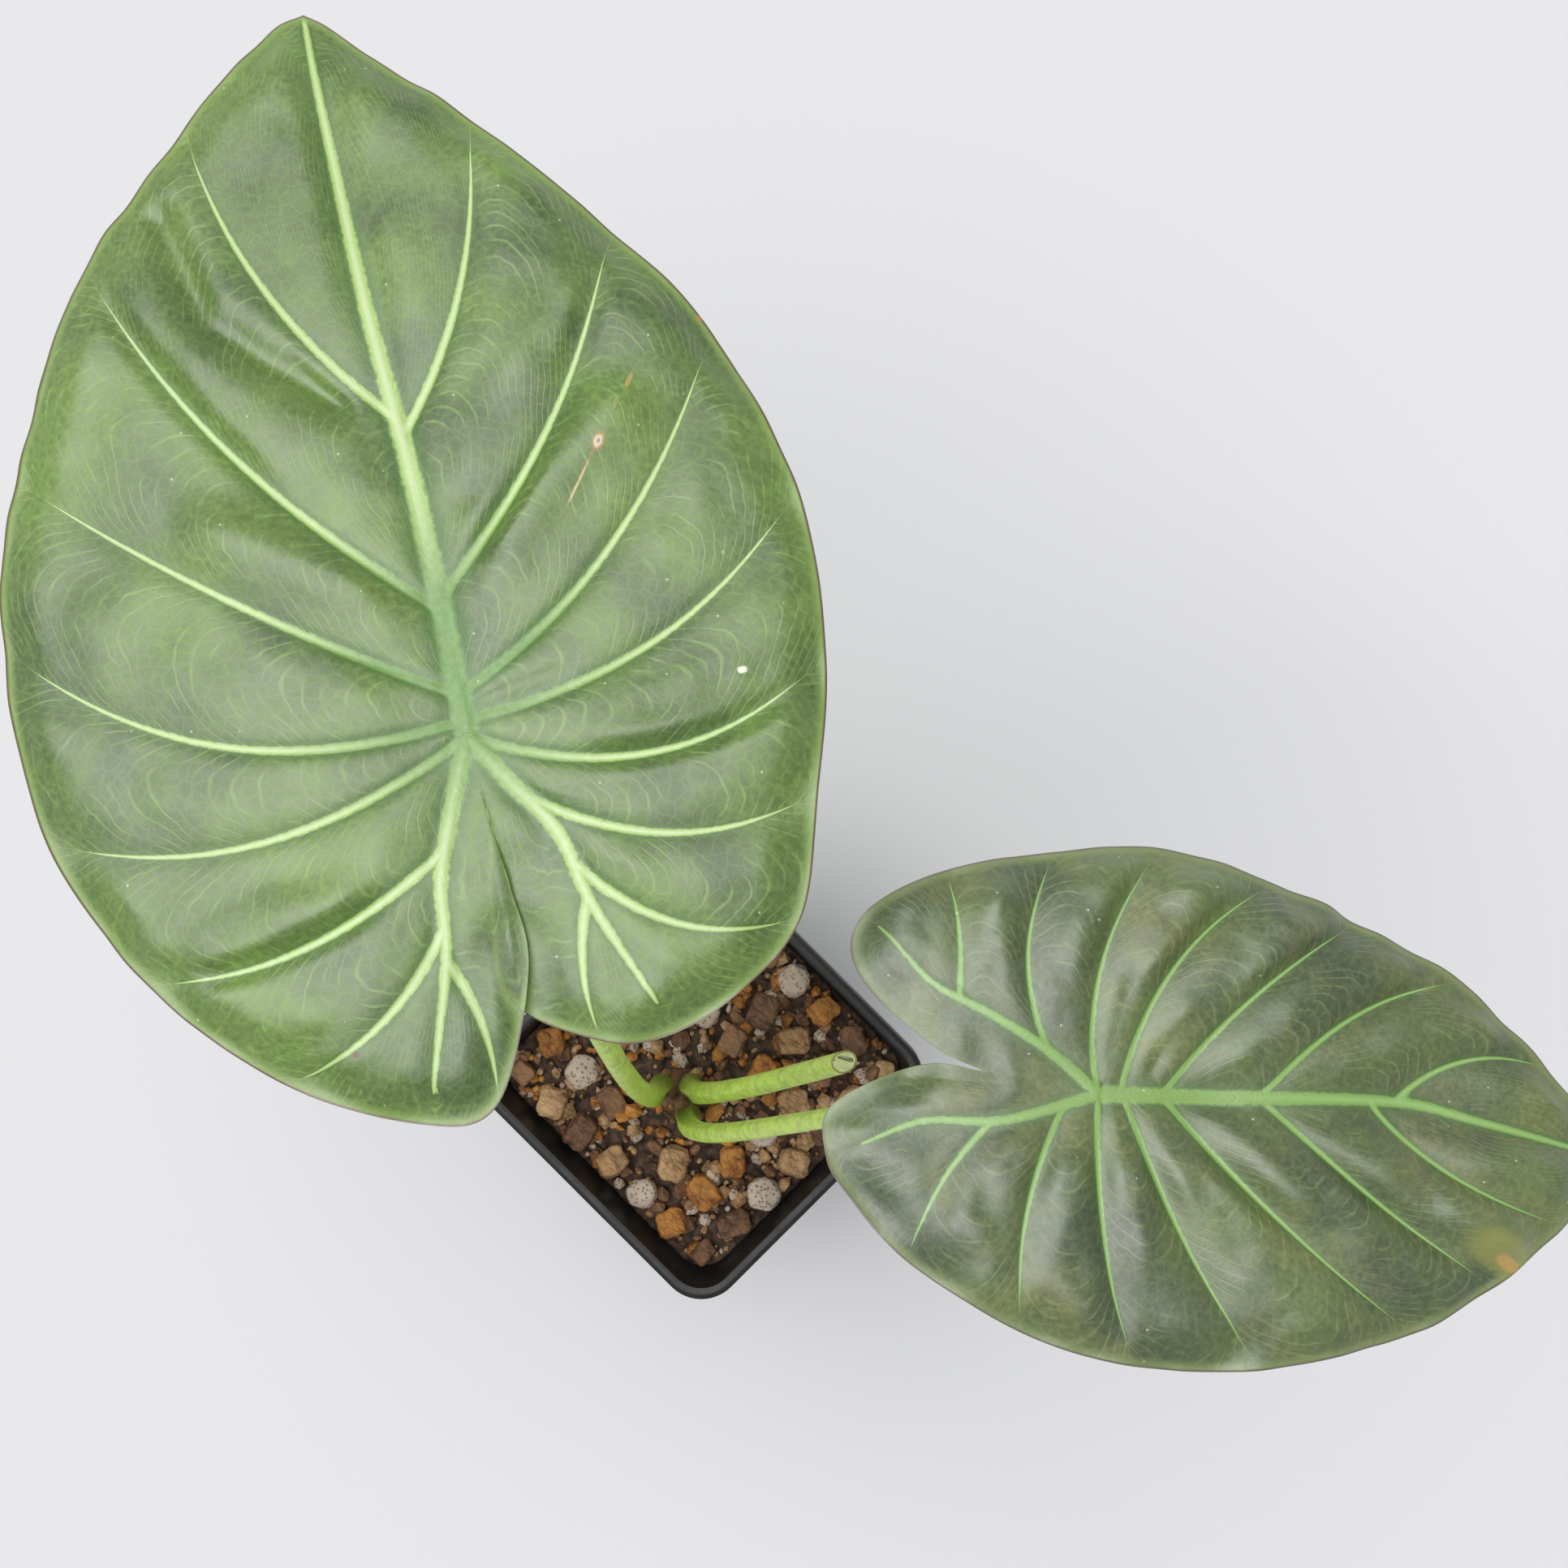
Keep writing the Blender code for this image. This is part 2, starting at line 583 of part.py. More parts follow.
def make_blade(name, plan, length, hub, tilt, parts, plant, material):
    bm = bmesh.new()
    for side in ("left", "right"):
        for rib in ("midrib", f"{side}_rib"):
            blade_panel(bm, plan, side, rib)
    bmesh.ops.remove_doubles(bm, verts=bm.verts, dist=0.02)
    bmesh.ops.dissolve_degenerate(bm, edges=bm.edges, dist=0.01)
    bmesh.ops.recalc_face_normals(bm, faces=bm.faces)
    if sum(f.normal.z * f.calc_area() for f in bm.faces) < 0:
        bmesh.ops.reverse_faces(bm, faces=bm.faces)
    bmesh.ops.scale(bm, verts=bm.verts, vec=(length / plan["length"],) * 3)
    blade = mesh_object(name, bm, parts, material)
    blade.location = hub
    blade.rotation_euler = tilt.to_euler()
    blade.parent = plant
    skin = blade.modifiers.new("thickness", "SOLIDIFY")
    skin.thickness = BLADE_THICKNESS
    skin.offset = -1.0


def blade_tilt(heading, pitch, roll):
    turn = Matrix.Rotation(math.radians(heading), 3, "Z")
    dip = Matrix.Rotation(math.radians(-pitch), 3, "X")
    return turn @ dip @ Matrix.Rotation(math.radians(roll), 3, "Y")


def main():
    clear_scene()
    parts = new_collection("potted_alocasia")
    cutters = new_collection("cutters")
    make_pot(parts, cutters)

    plant = bpy.data.objects.new("plant", None)
    parts.objects.link(plant)
    plant.rotation_euler = (0, 0, math.radians(PLANT_TURN))
    turn = Matrix.Rotation(math.radians(PLANT_TURN), 4, "Z")

    corm = corm_body("corm", parts, 0.0)
    corm.data.materials.append(principled("corm_skin", (0.30, 0.20, 0.11), 0.8))
    corm.parent = plant
    well = corm_body("corm_well", cutters, SEAT_GAP)
    well.matrix_world = turn @ well.matrix_world
    as_cutter(well)
    make_substrate(parts, well)
    make_top_dressing(parts)

    stalk_green = principled("stalk_green", (0.42, 0.56, 0.08), 0.45)
    large_tilt = blade_tilt(LARGE_HEADING, LARGE_PITCH, LARGE_ROLL)
    small_tilt = blade_tilt(SMALL_HEADING, SMALL_PITCH, SMALL_ROLL)
    large_hub = over_soil(LARGE_HUB)
    small_hub = over_soil(SMALL_HUB)
    make_stalk("petiole_large", LARGE_FOOT, LARGE_RADII, large_hub, large_tilt, parts, plant, stalk_green)
    make_stalk("petiole_small", SMALL_FOOT, SMALL_RADII, small_hub, small_tilt, parts, plant, stalk_green)
    make_stub(parts, plant, stalk_green)
    make_blade("blade_large", LARGE_PLAN, LARGE_LENGTH, large_hub, large_tilt, parts, plant,
               principled("blade_green", (0.085, 0.15, 0.045), 0.38))
    make_blade("blade_small", SMALL_PLAN, SMALL_LENGTH, small_hub, small_tilt, parts, plant,
               principled("blade_olive", (0.05, 0.085, 0.03), 0.4))


main()
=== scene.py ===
import math
import random

import bmesh
import bpy
import numpy as np
from mathutils import Matrix, Vector, noise
from mathutils.geometry import interpolate_bezier


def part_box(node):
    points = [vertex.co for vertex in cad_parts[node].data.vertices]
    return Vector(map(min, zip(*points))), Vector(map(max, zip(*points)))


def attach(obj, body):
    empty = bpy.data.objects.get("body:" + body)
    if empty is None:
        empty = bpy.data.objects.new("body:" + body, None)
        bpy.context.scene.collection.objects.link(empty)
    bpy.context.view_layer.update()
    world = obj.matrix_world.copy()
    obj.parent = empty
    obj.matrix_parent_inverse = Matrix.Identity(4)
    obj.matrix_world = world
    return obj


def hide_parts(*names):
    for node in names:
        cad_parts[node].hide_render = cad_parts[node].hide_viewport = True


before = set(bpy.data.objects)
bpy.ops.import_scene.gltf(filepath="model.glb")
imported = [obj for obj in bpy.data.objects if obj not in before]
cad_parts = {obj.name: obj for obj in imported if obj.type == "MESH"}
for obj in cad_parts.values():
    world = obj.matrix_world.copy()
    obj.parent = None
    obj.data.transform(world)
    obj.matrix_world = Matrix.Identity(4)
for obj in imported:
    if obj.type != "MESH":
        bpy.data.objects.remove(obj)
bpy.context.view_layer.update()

mm = 0.001
plantHeading = 45  # degrees: the leaves grow towards two of the pot's corners
plantTurn = Matrix.Rotation(math.radians(plantHeading), 4, "Z")


def hexColour(code):
    # sRGB hex to linear, with alpha
    parts = [int(code[i:i + 2], 16) / 255 for i in (1, 3, 5)]
    return tuple(c / 12.92 if c <= 0.04045 else ((c + 0.055) / 1.055) ** 2.4
                 for c in parts) + (1.0,)


def addNode(tree, kind, settings=None, **inputs):
    # settings are the node's own fields; inputs are values, nodes or sockets, by name or by number
    node = tree.nodes.new("ShaderNode" + kind)
    for field, value in (settings or {}).items():
        setattr(node, field, value)
    for name, value in inputs.items():
        if name[1:].isdigit():
            socket = node.inputs[int(name[1:])]
        else:
            socket = next(s for s in node.inputs if s.enabled and s.name == name.replace("_", " "))
        if isinstance(value, bpy.types.Node):
            value = next(o for o in value.outputs if o.enabled)
        if isinstance(value, bpy.types.NodeSocket):
            tree.links.new(value, socket)
        else:
            socket.default_value = value
    return node


def noiseOf(tree, coords, scale, detail, **inputs):
    # scale is in patches per metre
    return addNode(tree, "TexNoise", Vector=coords, Scale=scale, Detail=detail,
                   **inputs).outputs["Fac"]


def maths(tree, operation, *values):
    numbered = {f"i{number}": value for number, value in enumerate(values)}
    return addNode(tree, "Math", {"operation": operation}, **numbered)


def remap(tree, value, low, high, first=0.0, last=1.0, smooth=False):
    return addNode(tree, "MapRange", {"interpolation_type": "SMOOTHSTEP" if smooth else "LINEAR"},
                   Value=value, From_Min=low, From_Max=high, To_Min=first, To_Max=last)


def blend(tree, amount, below, above, kind="MIX"):
    # two colours, each a hex code or a node
    below, above = (hexColour(c) if isinstance(c, str) else c for c in (below, above))
    return addNode(tree, "Mix", {"data_type": "RGBA", "blend_type": kind}, Factor=amount, A=below,
                   B=above)


def plug(tree, node, shader, name):
    # a node's first live output into the shader
    tree.links.new(next(o for o in node.outputs if o.enabled), shader.inputs[name])


def finishLook(tree, shader, colour, relief, strength, depth):
    # the colour, and a fine relief whose depth is in metres
    bump = addNode(tree, "Bump", Strength=strength, Distance=depth, Height=relief)
    plug(tree, colour, shader, "Base Color")
    plug(tree, bump, shader, "Normal")


def newMaterial(name, **inputs):
    material = bpy.data.materials.new(name)
    material.use_nodes = True
    tree = material.node_tree
    shader = tree.nodes["Principled BSDF"]
    for key, value in inputs.items():
        shader.inputs[key.replace("_", " ")].default_value = value
    coords = addNode(tree, "TexCoord").outputs["Object"]
    return material, tree, shader, coords


def newObject(name, data):
    thing = bpy.data.objects.new(name, data)
    bpy.context.scene.collection.objects.link(thing)
    return thing


def meshObject(name, bm):
    mesh = bpy.data.meshes.new(name)
    bm.to_mesh(mesh)
    bm.free()
    return newObject(name, mesh)


def finishPiece(name, bm, materials, nodes=None, smooth=True):
    piece = meshObject(name, bm)
    for material in materials:
        piece.data.materials.append(material)
    if smooth:
        piece.data.shade_smooth()
    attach(piece, "root")
    if nodes:
        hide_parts(*nodes)
    return piece


def boundaryOf(bm):
    return [e for e in bm.edges if e.is_boundary]


def smoothStep(low, high, value):
    t = np.clip((value - low) / (high - low), 0, 1)
    return t * t * (3 - 2 * t)


# Camera, floor and light

view = {"place": (-0.0439, 0.0783, 0.542), "turn": 45, "lens": 35.33, "sensor": 36, "nearest": 0.01}
studio = {
    "floorColour": "#dfdfe1",
    "floorSize": 30.0,
    "skyColour": "#fbfcff",
    "skyStrength": 0.30,
    "lampSpread": 70,  # degrees: a wide source, for soft shadows
    "lampFrom": (-0.85, -0.12, 2.75),
    "lampStrength": 2.65,
}

camera = newObject("camera", bpy.data.cameras.new("camera"))
camera.location = view["place"]
camera.rotation_euler = (0, 0, math.radians(view["turn"]))
camera.data.lens = view["lens"]
camera.data.sensor_width = view["sensor"]
camera.data.clip_start = view["nearest"]
bpy.context.scene.camera = camera
bpy.context.scene.view_settings.view_transform = "Standard"

bm = bmesh.new()
bmesh.ops.create_grid(bm, x_segments=1, y_segments=1, size=studio["floorSize"] / 2)
floor = meshObject("floor", bm)
paper, tree, shader, coords = newMaterial("mattBackdropPaper", Roughness=0.9)
shader.inputs["Base Color"].default_value = hexColour(studio["floorColour"])
floor.data.materials.append(paper)

world = bpy.data.worlds.new("softStudio")
world.use_nodes = True
sky = world.node_tree.nodes["Background"]
sky.inputs["Color"].default_value = hexColour(studio["skyColour"])
sky.inputs["Strength"].default_value = studio["skyStrength"]
bpy.context.scene.world = world

lamp = newObject("overheadSoftbox", bpy.data.lights.new("overheadSoftbox", "SUN"))
lamp.data.angle = math.radians(studio["lampSpread"])
lamp.data.energy = studio["lampStrength"]
lamp.rotation_euler = Vector(studio["lampFrom"]).to_track_quat("Z", "Y").to_euler()
print("camera, floor and light done")


# Leaf blades. A plan is in millimetres with the hub at 0, 0 and the tip at +Y. Each rib is a curve
# from the hub: fraction of its length, then x and y. Each half lists its columns from the tip,
# round the lobe, to the notch: rib, fraction where the column leaves it, its middle, its end on the
# margin, and 1 where a side vein runs along it. Tilt is heading, pitch and roll in degrees. Dome,
# pucker and wave are the heights of the panels, of their fine lumps and of the broad swell.

largeLeaf = {
    "name": "bladeLarge",
    "node": "blade_large",
    "slot": "large_blade",
    "length": 139.6,
    "hub": (-26.8, 94.4, 294.0),
    "tilt": (13, 9, 4),
    "droop": (9.0, 4.0, 62.0),
    "vault": (0.10, 0.0021),
    "ribs": {
        "midrib": ((0, 0, 0), (0.3, -0.6, 41.5), (0.6, -3.3, 83), (1, -5, 139.6)),
        "leftRib": ((0, 0, 0), (0.23, -5, -12.5), (0.43, -8.5, -23), (0.66, -10, -35),
                    (1, -16, -54.5)),
        "rightRib": ((0, 0, 0), (0.17, 4.5, -8), (0.38, 11, -18.5), (0.62, 14, -31),
                     (1, 20.8, -48.5)),
    },
    "left": (
        ("midrib", 1, (-5, 139.6), (-5, 139.6), 0),
        ("midrib", 0.9, (-7.5, 130), (-10.5, 138), 0),
        ("midrib", 0.67, (-11.5, 112.5), (-18.5, 129.5), 0),
        ("midrib", 0.41, (-20, 85.5), (-28.5, 119.6), 1),
        ("midrib", 0.155, (-29.5, 55.5), (-49, 96), 1),
        ("midrib", 0.05, (-33.5, 30), (-66, 60), 1),
        ("midrib", 0.02, (-39, 6.5), (-72, 32), 1),
        ("midrib", 0, (-35, -10.5), (-69.5, -2), 1),
        ("leftRib", 0.33, (-31.5, -28.5), (-57, -28), 1),
        ("leftRib", 0.57, (-22.5, -43), (-39, -48), 1),
        ("leftRib", 1, (-17.5, -57), (-19, -59), 0),
        ("leftRib", 0.66, (-6.5, -46.5), (-7, -58.5), 1),
        ("leftRib", 0.45, (-3, -31.5), (2, -39.5), 0),
        ("leftRib", 0.18, (-0.5, -15.5), (2, -25.5), 0),
        ("leftRib", 0, (0.5, -8), (1, -16), 0),
    ),
    "right": (
        ("midrib", 1, (-5, 139.6), (-5, 139.6), 0),
        ("midrib", 0.9, (-1.5, 128.5), (0.5, 135), 0),
        ("midrib", 0.67, (3.5, 109), (10, 124), 0),
        ("midrib", 0.385, (14, 79), (20.5, 112.3), 1),
        ("midrib", 0.17, (24, 50), (41, 85), 1),
        ("midrib", 0.05, (30.5, 27.5), (54, 62), 1),
        ("midrib", 0.02, (33.5, 9), (62, 30.5), 1),
        ("midrib", 0, (30, -9.5), (60, 1), 1),
        ("rightRib", 0.25, (29.5, -23), (53.5, -21), 1),
        ("rightRib", 0.49, (27.5, -37.5), (46.5, -40), 1),
        ("rightRib", 0.78, (25.5, -45.5), (34.5, -49.5), 0),
        ("rightRib", 1, (21.3, -51.5), (21.5, -54), 0),
        ("rightRib", 0.6, (10.5, -41), (11, -52.5), 1),
        ("rightRib", 0.36, (5.5, -30.5), (-1.5, -43.5), 0),
        ("rightRib", 0.18, (3, -18.5), (-1.5, -29), 0),
        ("rightRib", 0, (0.5, -8), (1, -16), 0),
    ),
    "veinWidth": 0.8,
    "ribWidth": {"midrib": 1.95, "leftRib": 1.5, "rightRib": 1.5},
    "dome": 1.3,
    "pucker": 0.6,
    "wave": 0.5,
    "tuck": 1.6,  # how far the right lobe passes under the left one at the notch
    # single folds: half width, height, and the points each one passes
    "folds": (
        (3.0, -3.0, (-35, 102), (-30, 80), (-11, 61)),
        (7.0, 1.7, (-41, 84), (-23, 57)),
        (5.0, 2.1, (12, 32), (34, 49)),
        (5.0, 1.6, (24, -8), (50, -9)),
        (5.0, 1.9, (-24, -24), (-44, -29)),
        (5.0, 1.4, (-13, 28), (-34, 41)),
        (2.4, -1.0, (4, 4), (16, 5.5)),
        (5.5, 1.2, (20, 60), (33, 70)),
        (6.0, -2.2, (6, 131), (24, 110), (43, 84), (57, 55)),
        (6.0, -2.0, (-42, -45), (-19, -59)),
        (6.0, -2.0, (20, -54), (40, -46)),
    ),
}
smallLeaf = {
    "name": "bladeSmall",
    "node": "blade_small",
    "slot": "small_blade",
    "length": 104.9,
    "hub": (79.7, 32.0, 272.0),
    "tilt": (-97, 7, -14),
    "droop": (6.0, 3.0, 48.0),
    "vault": (0.10, 0.0028),
    "ribs": {
        "midrib": ((0, 0, 0), (0.21, -1.5, 22), (0.54, -4, 56.5), (0.7, -2, 73.5), (1, 2.4, 104.9)),
        "leftRib": ((0, 0, 0), (0.22, -6.5, -9.5), (0.46, -12, -21), (0.7, -16.5, -31.5),
                    (1, -25.6, -41)),
        "rightRib": ((0, 0, 0), (0.27, 4.5, -12), (0.43, 6.5, -19.5), (0.68, 7.5, -31),
                     (1, 12.3, -41.5)),
    },
    "left": (
        ("midrib", 1, (2.4, 104.9), (2.4, 104.9), 0),
        ("midrib", 0.79, (-5, 89), (-6, 97.5), 0),
        ("midrib", 0.54, (-13, 71.5), (-13, 89.5), 1),
        ("midrib", 0.29, (-18.5, 48), (-27.5, 71), 1),
        ("midrib", 0.12, (-20, 28), (-36.5, 50), 1),
        ("midrib", 0.04, (-24, 13), (-42, 33.5), 1),
        ("midrib", 0, (-22.5, -1), (-46, 10.5), 1),
        ("leftRib", 0.22, (-23.5, -14.5), (-43, -9), 1),
        ("leftRib", 0.58, (-26, -27), (-37.5, -29), 1),
        ("leftRib", 1, (-27, -42.4), (-28, -43.5), 0),
        ("leftRib", 0.7, (-16, -37.5), (-17, -44), 0),
        ("leftRib", 0.4, (-8, -23), (-5.5, -30), 0),
        ("leftRib", 0, (-1, -10.5), (-2, -21), 0),
    ),
    "right": (
        ("midrib", 1, (2.4, 104.9), (2.4, 104.9), 0),
        ("midrib", 0.79, (3.5, 90.5), (8, 99), 0),
        ("midrib", 0.48, (8.5, 68), (15, 91.5), 1),
        ("midrib", 0.29, (13.5, 51.5), (27, 76.5), 1),
        ("midrib", 0.12, (19.5, 34.5), (36, 60.5), 1),
        ("midrib", 0.045, (23, 16), (44, 32), 1),
        ("midrib", 0, (23.5, 1.5), (45, 9), 1),
        ("rightRib", 0.13, (22, -12.5), (41, -11), 1),
        ("rightRib", 0.42, (18, -27.5), (31, -31.5), 1),
        ("rightRib", 0.79, (14.5, -38.5), (21.5, -42), 0),
        ("rightRib", 1, (13.8, -44.5), (15, -47), 0),
        ("rightRib", 0.68, (6.5, -38.5), (6, -46.5), 0),
        ("rightRib", 0.42, (3.5, -25.5), (-2, -32), 0),
        ("rightRib", 0, (-1, -10.5), (-2, -21), 0),
    ),
    "veinWidth": 0.52,
    "ribWidth": {"midrib": 1.4, "leftRib": 1.0, "rightRib": 1.0},
    "dome": 1.9,
    "pucker": 1.2,
    "wave": 0.8,
    "tuck": 0.0,
    "folds": (
        (4.5, 1.6, (-25, 9), (-41, 21)),
        (3.5, 1.4, (-24, -6), (-40, 1)),
        (4.0, 1.3, (-26, -20), (-38, -20)),
        (4.5, 1.4, (-24, 30), (-36, 42)),
        (5.0, 1.2, (-20, 55), (-28, 66)),
        (6.0, 1.3, (14, -8), (12, 70)),
        (5.5, -0.8, (1, -35), (9, -47), (20, -44), (32, -31)),
        (5.5, -0.8, (-9, -33), (-18, -45), (-30, -43), (-40, -27)),
    ),
}
bladeShape = {
    "columnStep": 1.25,
    "rows": 56,
    "skin": 0.45,
    "thickest": 3.0,
    # height and half width, in mm, of what follows the veins and the margin
    "veinValley": (0.55, 1.5),
    "veinCord": (0.22, 0.55),
    "ribValley": (0.8, 2.6),
    "ribCord": (0.45, 1.1),
    "veinBeneath": (1.1, 0.9),
    "marginFall": (1.5, 5.0),
    "marginFrill": (2.4, 7.0),
    "ribBeneath": 1.25,  # how far a rib stands out beneath, for each mm of its half width
    "widestRib": 1.9,
    "arcBow": 0.42,  # how far the arcs between two veins bow, as a share of the lane's width
}


def curveAt(points, places):
    # Catmull-Rom curve through points, at places counted in points from the first
    points = np.array(points, float)
    padded = np.vstack([2 * points[0] - points[1], points, 2 * points[-1] - points[-2]])
    first = np.clip(np.floor(places).astype(int), 0, len(points) - 2)
    t = (places - first)[:, None]
    a, b, c, d = (padded[first + i] for i in range(4))
    square, cube = 2 * a - 5 * b + 4 * c - d, 3 * b - a - 3 * c + d
    return 0.5 * (2 * b + (c - a) * t + square * t**2 + cube * t**3)


def ribAt(rib, fractions):
    places = np.interp(fractions, [k[0] for k in rib], range(len(rib)))
    return curveAt([k[1:] for k in rib], places)


def arcThrough(root, middle, end, r):
    # the parabola through three points, with r from 0 to 1
    return root * (1 - r) * (1 - 2 * r) + middle * 4 * r * (1 - r) + end * r * (2 * r - 1)


def eased(t, amount):
    # steps from 0 to 1 drawn closer together at both ends
    return t - amount * np.sin(2 * math.pi * t) / (2 * math.pi)


def ridge(distance, height, width):
    return height * np.exp(-(distance / width) ** 2)


def lumps(xy, size, seed):
    # smooth noise, with lumps of one size in mm
    return np.array([noise.noise(Vector((x / size, y / size, seed))) for x, y in xy])


def veinPath(leaf, column, r):
    # from the rib through the column's middle to its end on the margin
    rib, fraction, middle, end = column[:4]
    root = ribAt(leaf["ribs"][rib], np.array([fraction]))[0]
    return arcThrough(root, np.array(middle), np.array(end), r[:, None])


def laneNumbers(columns):
    # side veins get whole numbers, the columns between them fractions
    ends = np.array([c[3] for c in columns], float)
    along = np.concatenate([[0], np.cumsum(np.linalg.norm(np.diff(ends, axis=0), axis=1) + 1e-3)])
    veins = [i for i, c in enumerate(columns) if c[4] or i in (0, len(columns) - 1)]
    return np.interp(along, along[veins], np.arange(len(veins)))


def nearestOn(points, paths):
    # for each point: the smallest distance to the paths, and the width given there
    best = np.full(len(points), 1e9)
    width = np.ones(len(points))
    for path, widths in paths:
        for a, b, wa, wb in zip(path, path[1:], widths, widths[1:]):
            run = b - a
            t = np.clip(((points - a) @ run) / max(run @ run, 1e-9), 0, 1)
            distance = np.linalg.norm(points - a - t[:, None] * run, axis=1)
            closer = distance < best
            best[closer] = distance[closer]
            width[closer] = (wa + (wb - wa) * t)[closer]
    return best, width


def plainHeight(leaf, xy):
    # the same droop and vault as the CAD blade
    x, y = xy.T
    tip, lobe, lobeLength = leaf["droop"]
    rise, fall = leaf["vault"]
    spread = smoothStep(0, 15, np.hypot(x, y))
    forward = tip * np.maximum(y, 0) ** 2 / leaf["length"] ** 2
    backward = lobe * np.minimum(y, 0) ** 2 / lobeLength**2
    return spread * (rise * np.abs(x) - fall * x * x) - forward - backward


def ribRuns(leaf):
    # stretches of rib between neighbouring columns: side, rib, the first column's number, and the
    # fractions where the two leave the rib. A lobe's first stretch starts at the hub.
    runs = []
    for side in ("left", "right"):
        for low, (before, after) in enumerate(zip(leaf[side], leaf[side][1:])):
            runs.append((side, after[0], low, before[1] if before[0] == after[0] else 0, after[1]))
    return runs


def ribSteps(leaf, runs, rib, start, stop):
    # the fractions where mesh columns leave a rib: both halves share them, so they weld along it
    same = [run for run in runs if run[1] == rib]
    breaks = sorted({run[3] for run in same} | {run[4] for run in same} | {0, 1})
    steps = []
    for a, b in zip(breaks, breaks[1:]):
        if a < min(start, stop) or b > max(start, stop):
            continue
        longest = 0
        for side, unused, low, first, last in same:
            if min(first, last) <= a and b <= max(first, last):
                marks = np.array([low + (v - first) / (last - first) for v in (a, b)])
                near, far = curveAt([c[3] for c in leaf[side]], marks)
                longest = max(longest, np.linalg.norm(far - near))
        count = max(2, math.ceil(longest / bladeShape["columnStep"]))
        more = a + (b - a) * eased(np.linspace(0, 1, count + 1), 0.4)
        more[-1] = b
        steps += list(more[1:] if steps else more)
    return np.array(steps)


def bladePanels(leaf):
    # grids whose columns run along the side veins, from rib to margin, with their lane coordinates
    bm = bmesh.new()
    uvLayer = bm.loops.layers.uv.new("lanes")
    rows = bladeShape["rows"]
    r = eased(np.linspace(0, 1, rows + 1), 0.45)
    runs = ribRuns(leaf)
    for side, rib, low, start, stop in runs:
        columns = leaf[side]
        steps = ribSteps(leaf, runs, rib, start, stop)
        place = low + (steps - start) / (stop - start)
        lane = np.interp(place, range(len(columns)), laneNumbers(columns))
        root = ribAt(leaf["ribs"][rib], steps)
        middle, end = (curveAt([c[part] for c in columns], place) for part in (2, 3))
        flat = arcThrough(root[:, None], middle[:, None], end[:, None], r[None, :, None])
        lengths = np.linalg.norm(np.diff(flat, axis=1), axis=2)
        along = np.concatenate([np.zeros((len(steps), 1)), np.cumsum(lengths, axis=1)], axis=1)
        columnGap = np.linalg.norm(np.gradient(flat, axis=0), axis=2)
        laneWide = columnGap / np.abs(np.gradient(lane))[:, None]
        f = (lane - np.floor(lane))[:, None]
        # panels crown between side veins, less where they are narrow, and flatten at rib and margin
        crown = np.sin(math.pi * f) * np.minimum(1, laneWide / 17) ** 1.3
        crown = crown * smoothStep(0, 16, along) * smoothStep(0, 10, along[:, -1:] - along)
        arcs = along - bladeShape["arcBow"] * laneWide * (1 - (2 * f - 1) ** 2)
        # the inner part of the two lobes, where one lies over the other
        under = smoothStep(-15, -24, flat[..., 1]) * smoothStep(14, 3, flat[..., 0])
        height = leaf["dome"] * crown + leaf["tuck"] * under * (0.35 if side == "left" else -1)
        grid = bmesh.ops.create_grid(bm, x_segments=len(steps) - 1, y_segments=rows, size=0.5)
        shift = 0 if side == "left" else 40  # keeps the two halves' lanes apart
        lanePlace = {}
        for vert in grid["verts"]:
            i = round((vert.co.x + 0.5) * (len(steps) - 1))
            j = round((vert.co.y + 0.5) * rows)
            lanePlace[vert] = (lane[i] + shift, arcs[i, j])
            vert.co = (flat[i, j, 0], flat[i, j, 1], height[i, j])
        for face in {f for v in grid["verts"] for f in v.link_faces}:
            for loop in face.loops:
                loop[uvLayer].uv = lanePlace[loop.vert]
    return bm


def leafTilt(leaf):
    heading, pitch, roll = (math.radians(a) for a in leaf["tilt"])
    level = Matrix.Rotation(heading, 4, "Z") @ Matrix.Rotation(-pitch, 4, "X")
    return level @ Matrix.Rotation(roll, 4, "Y")


def bladePlace(leaf):
    # from the leaf's plan to the world
    hub = Matrix.Translation(Vector(leaf["hub"]) * mm)
    return plantTurn @ hub @ leafTilt(leaf) @ Matrix.Scale(mm, 4)


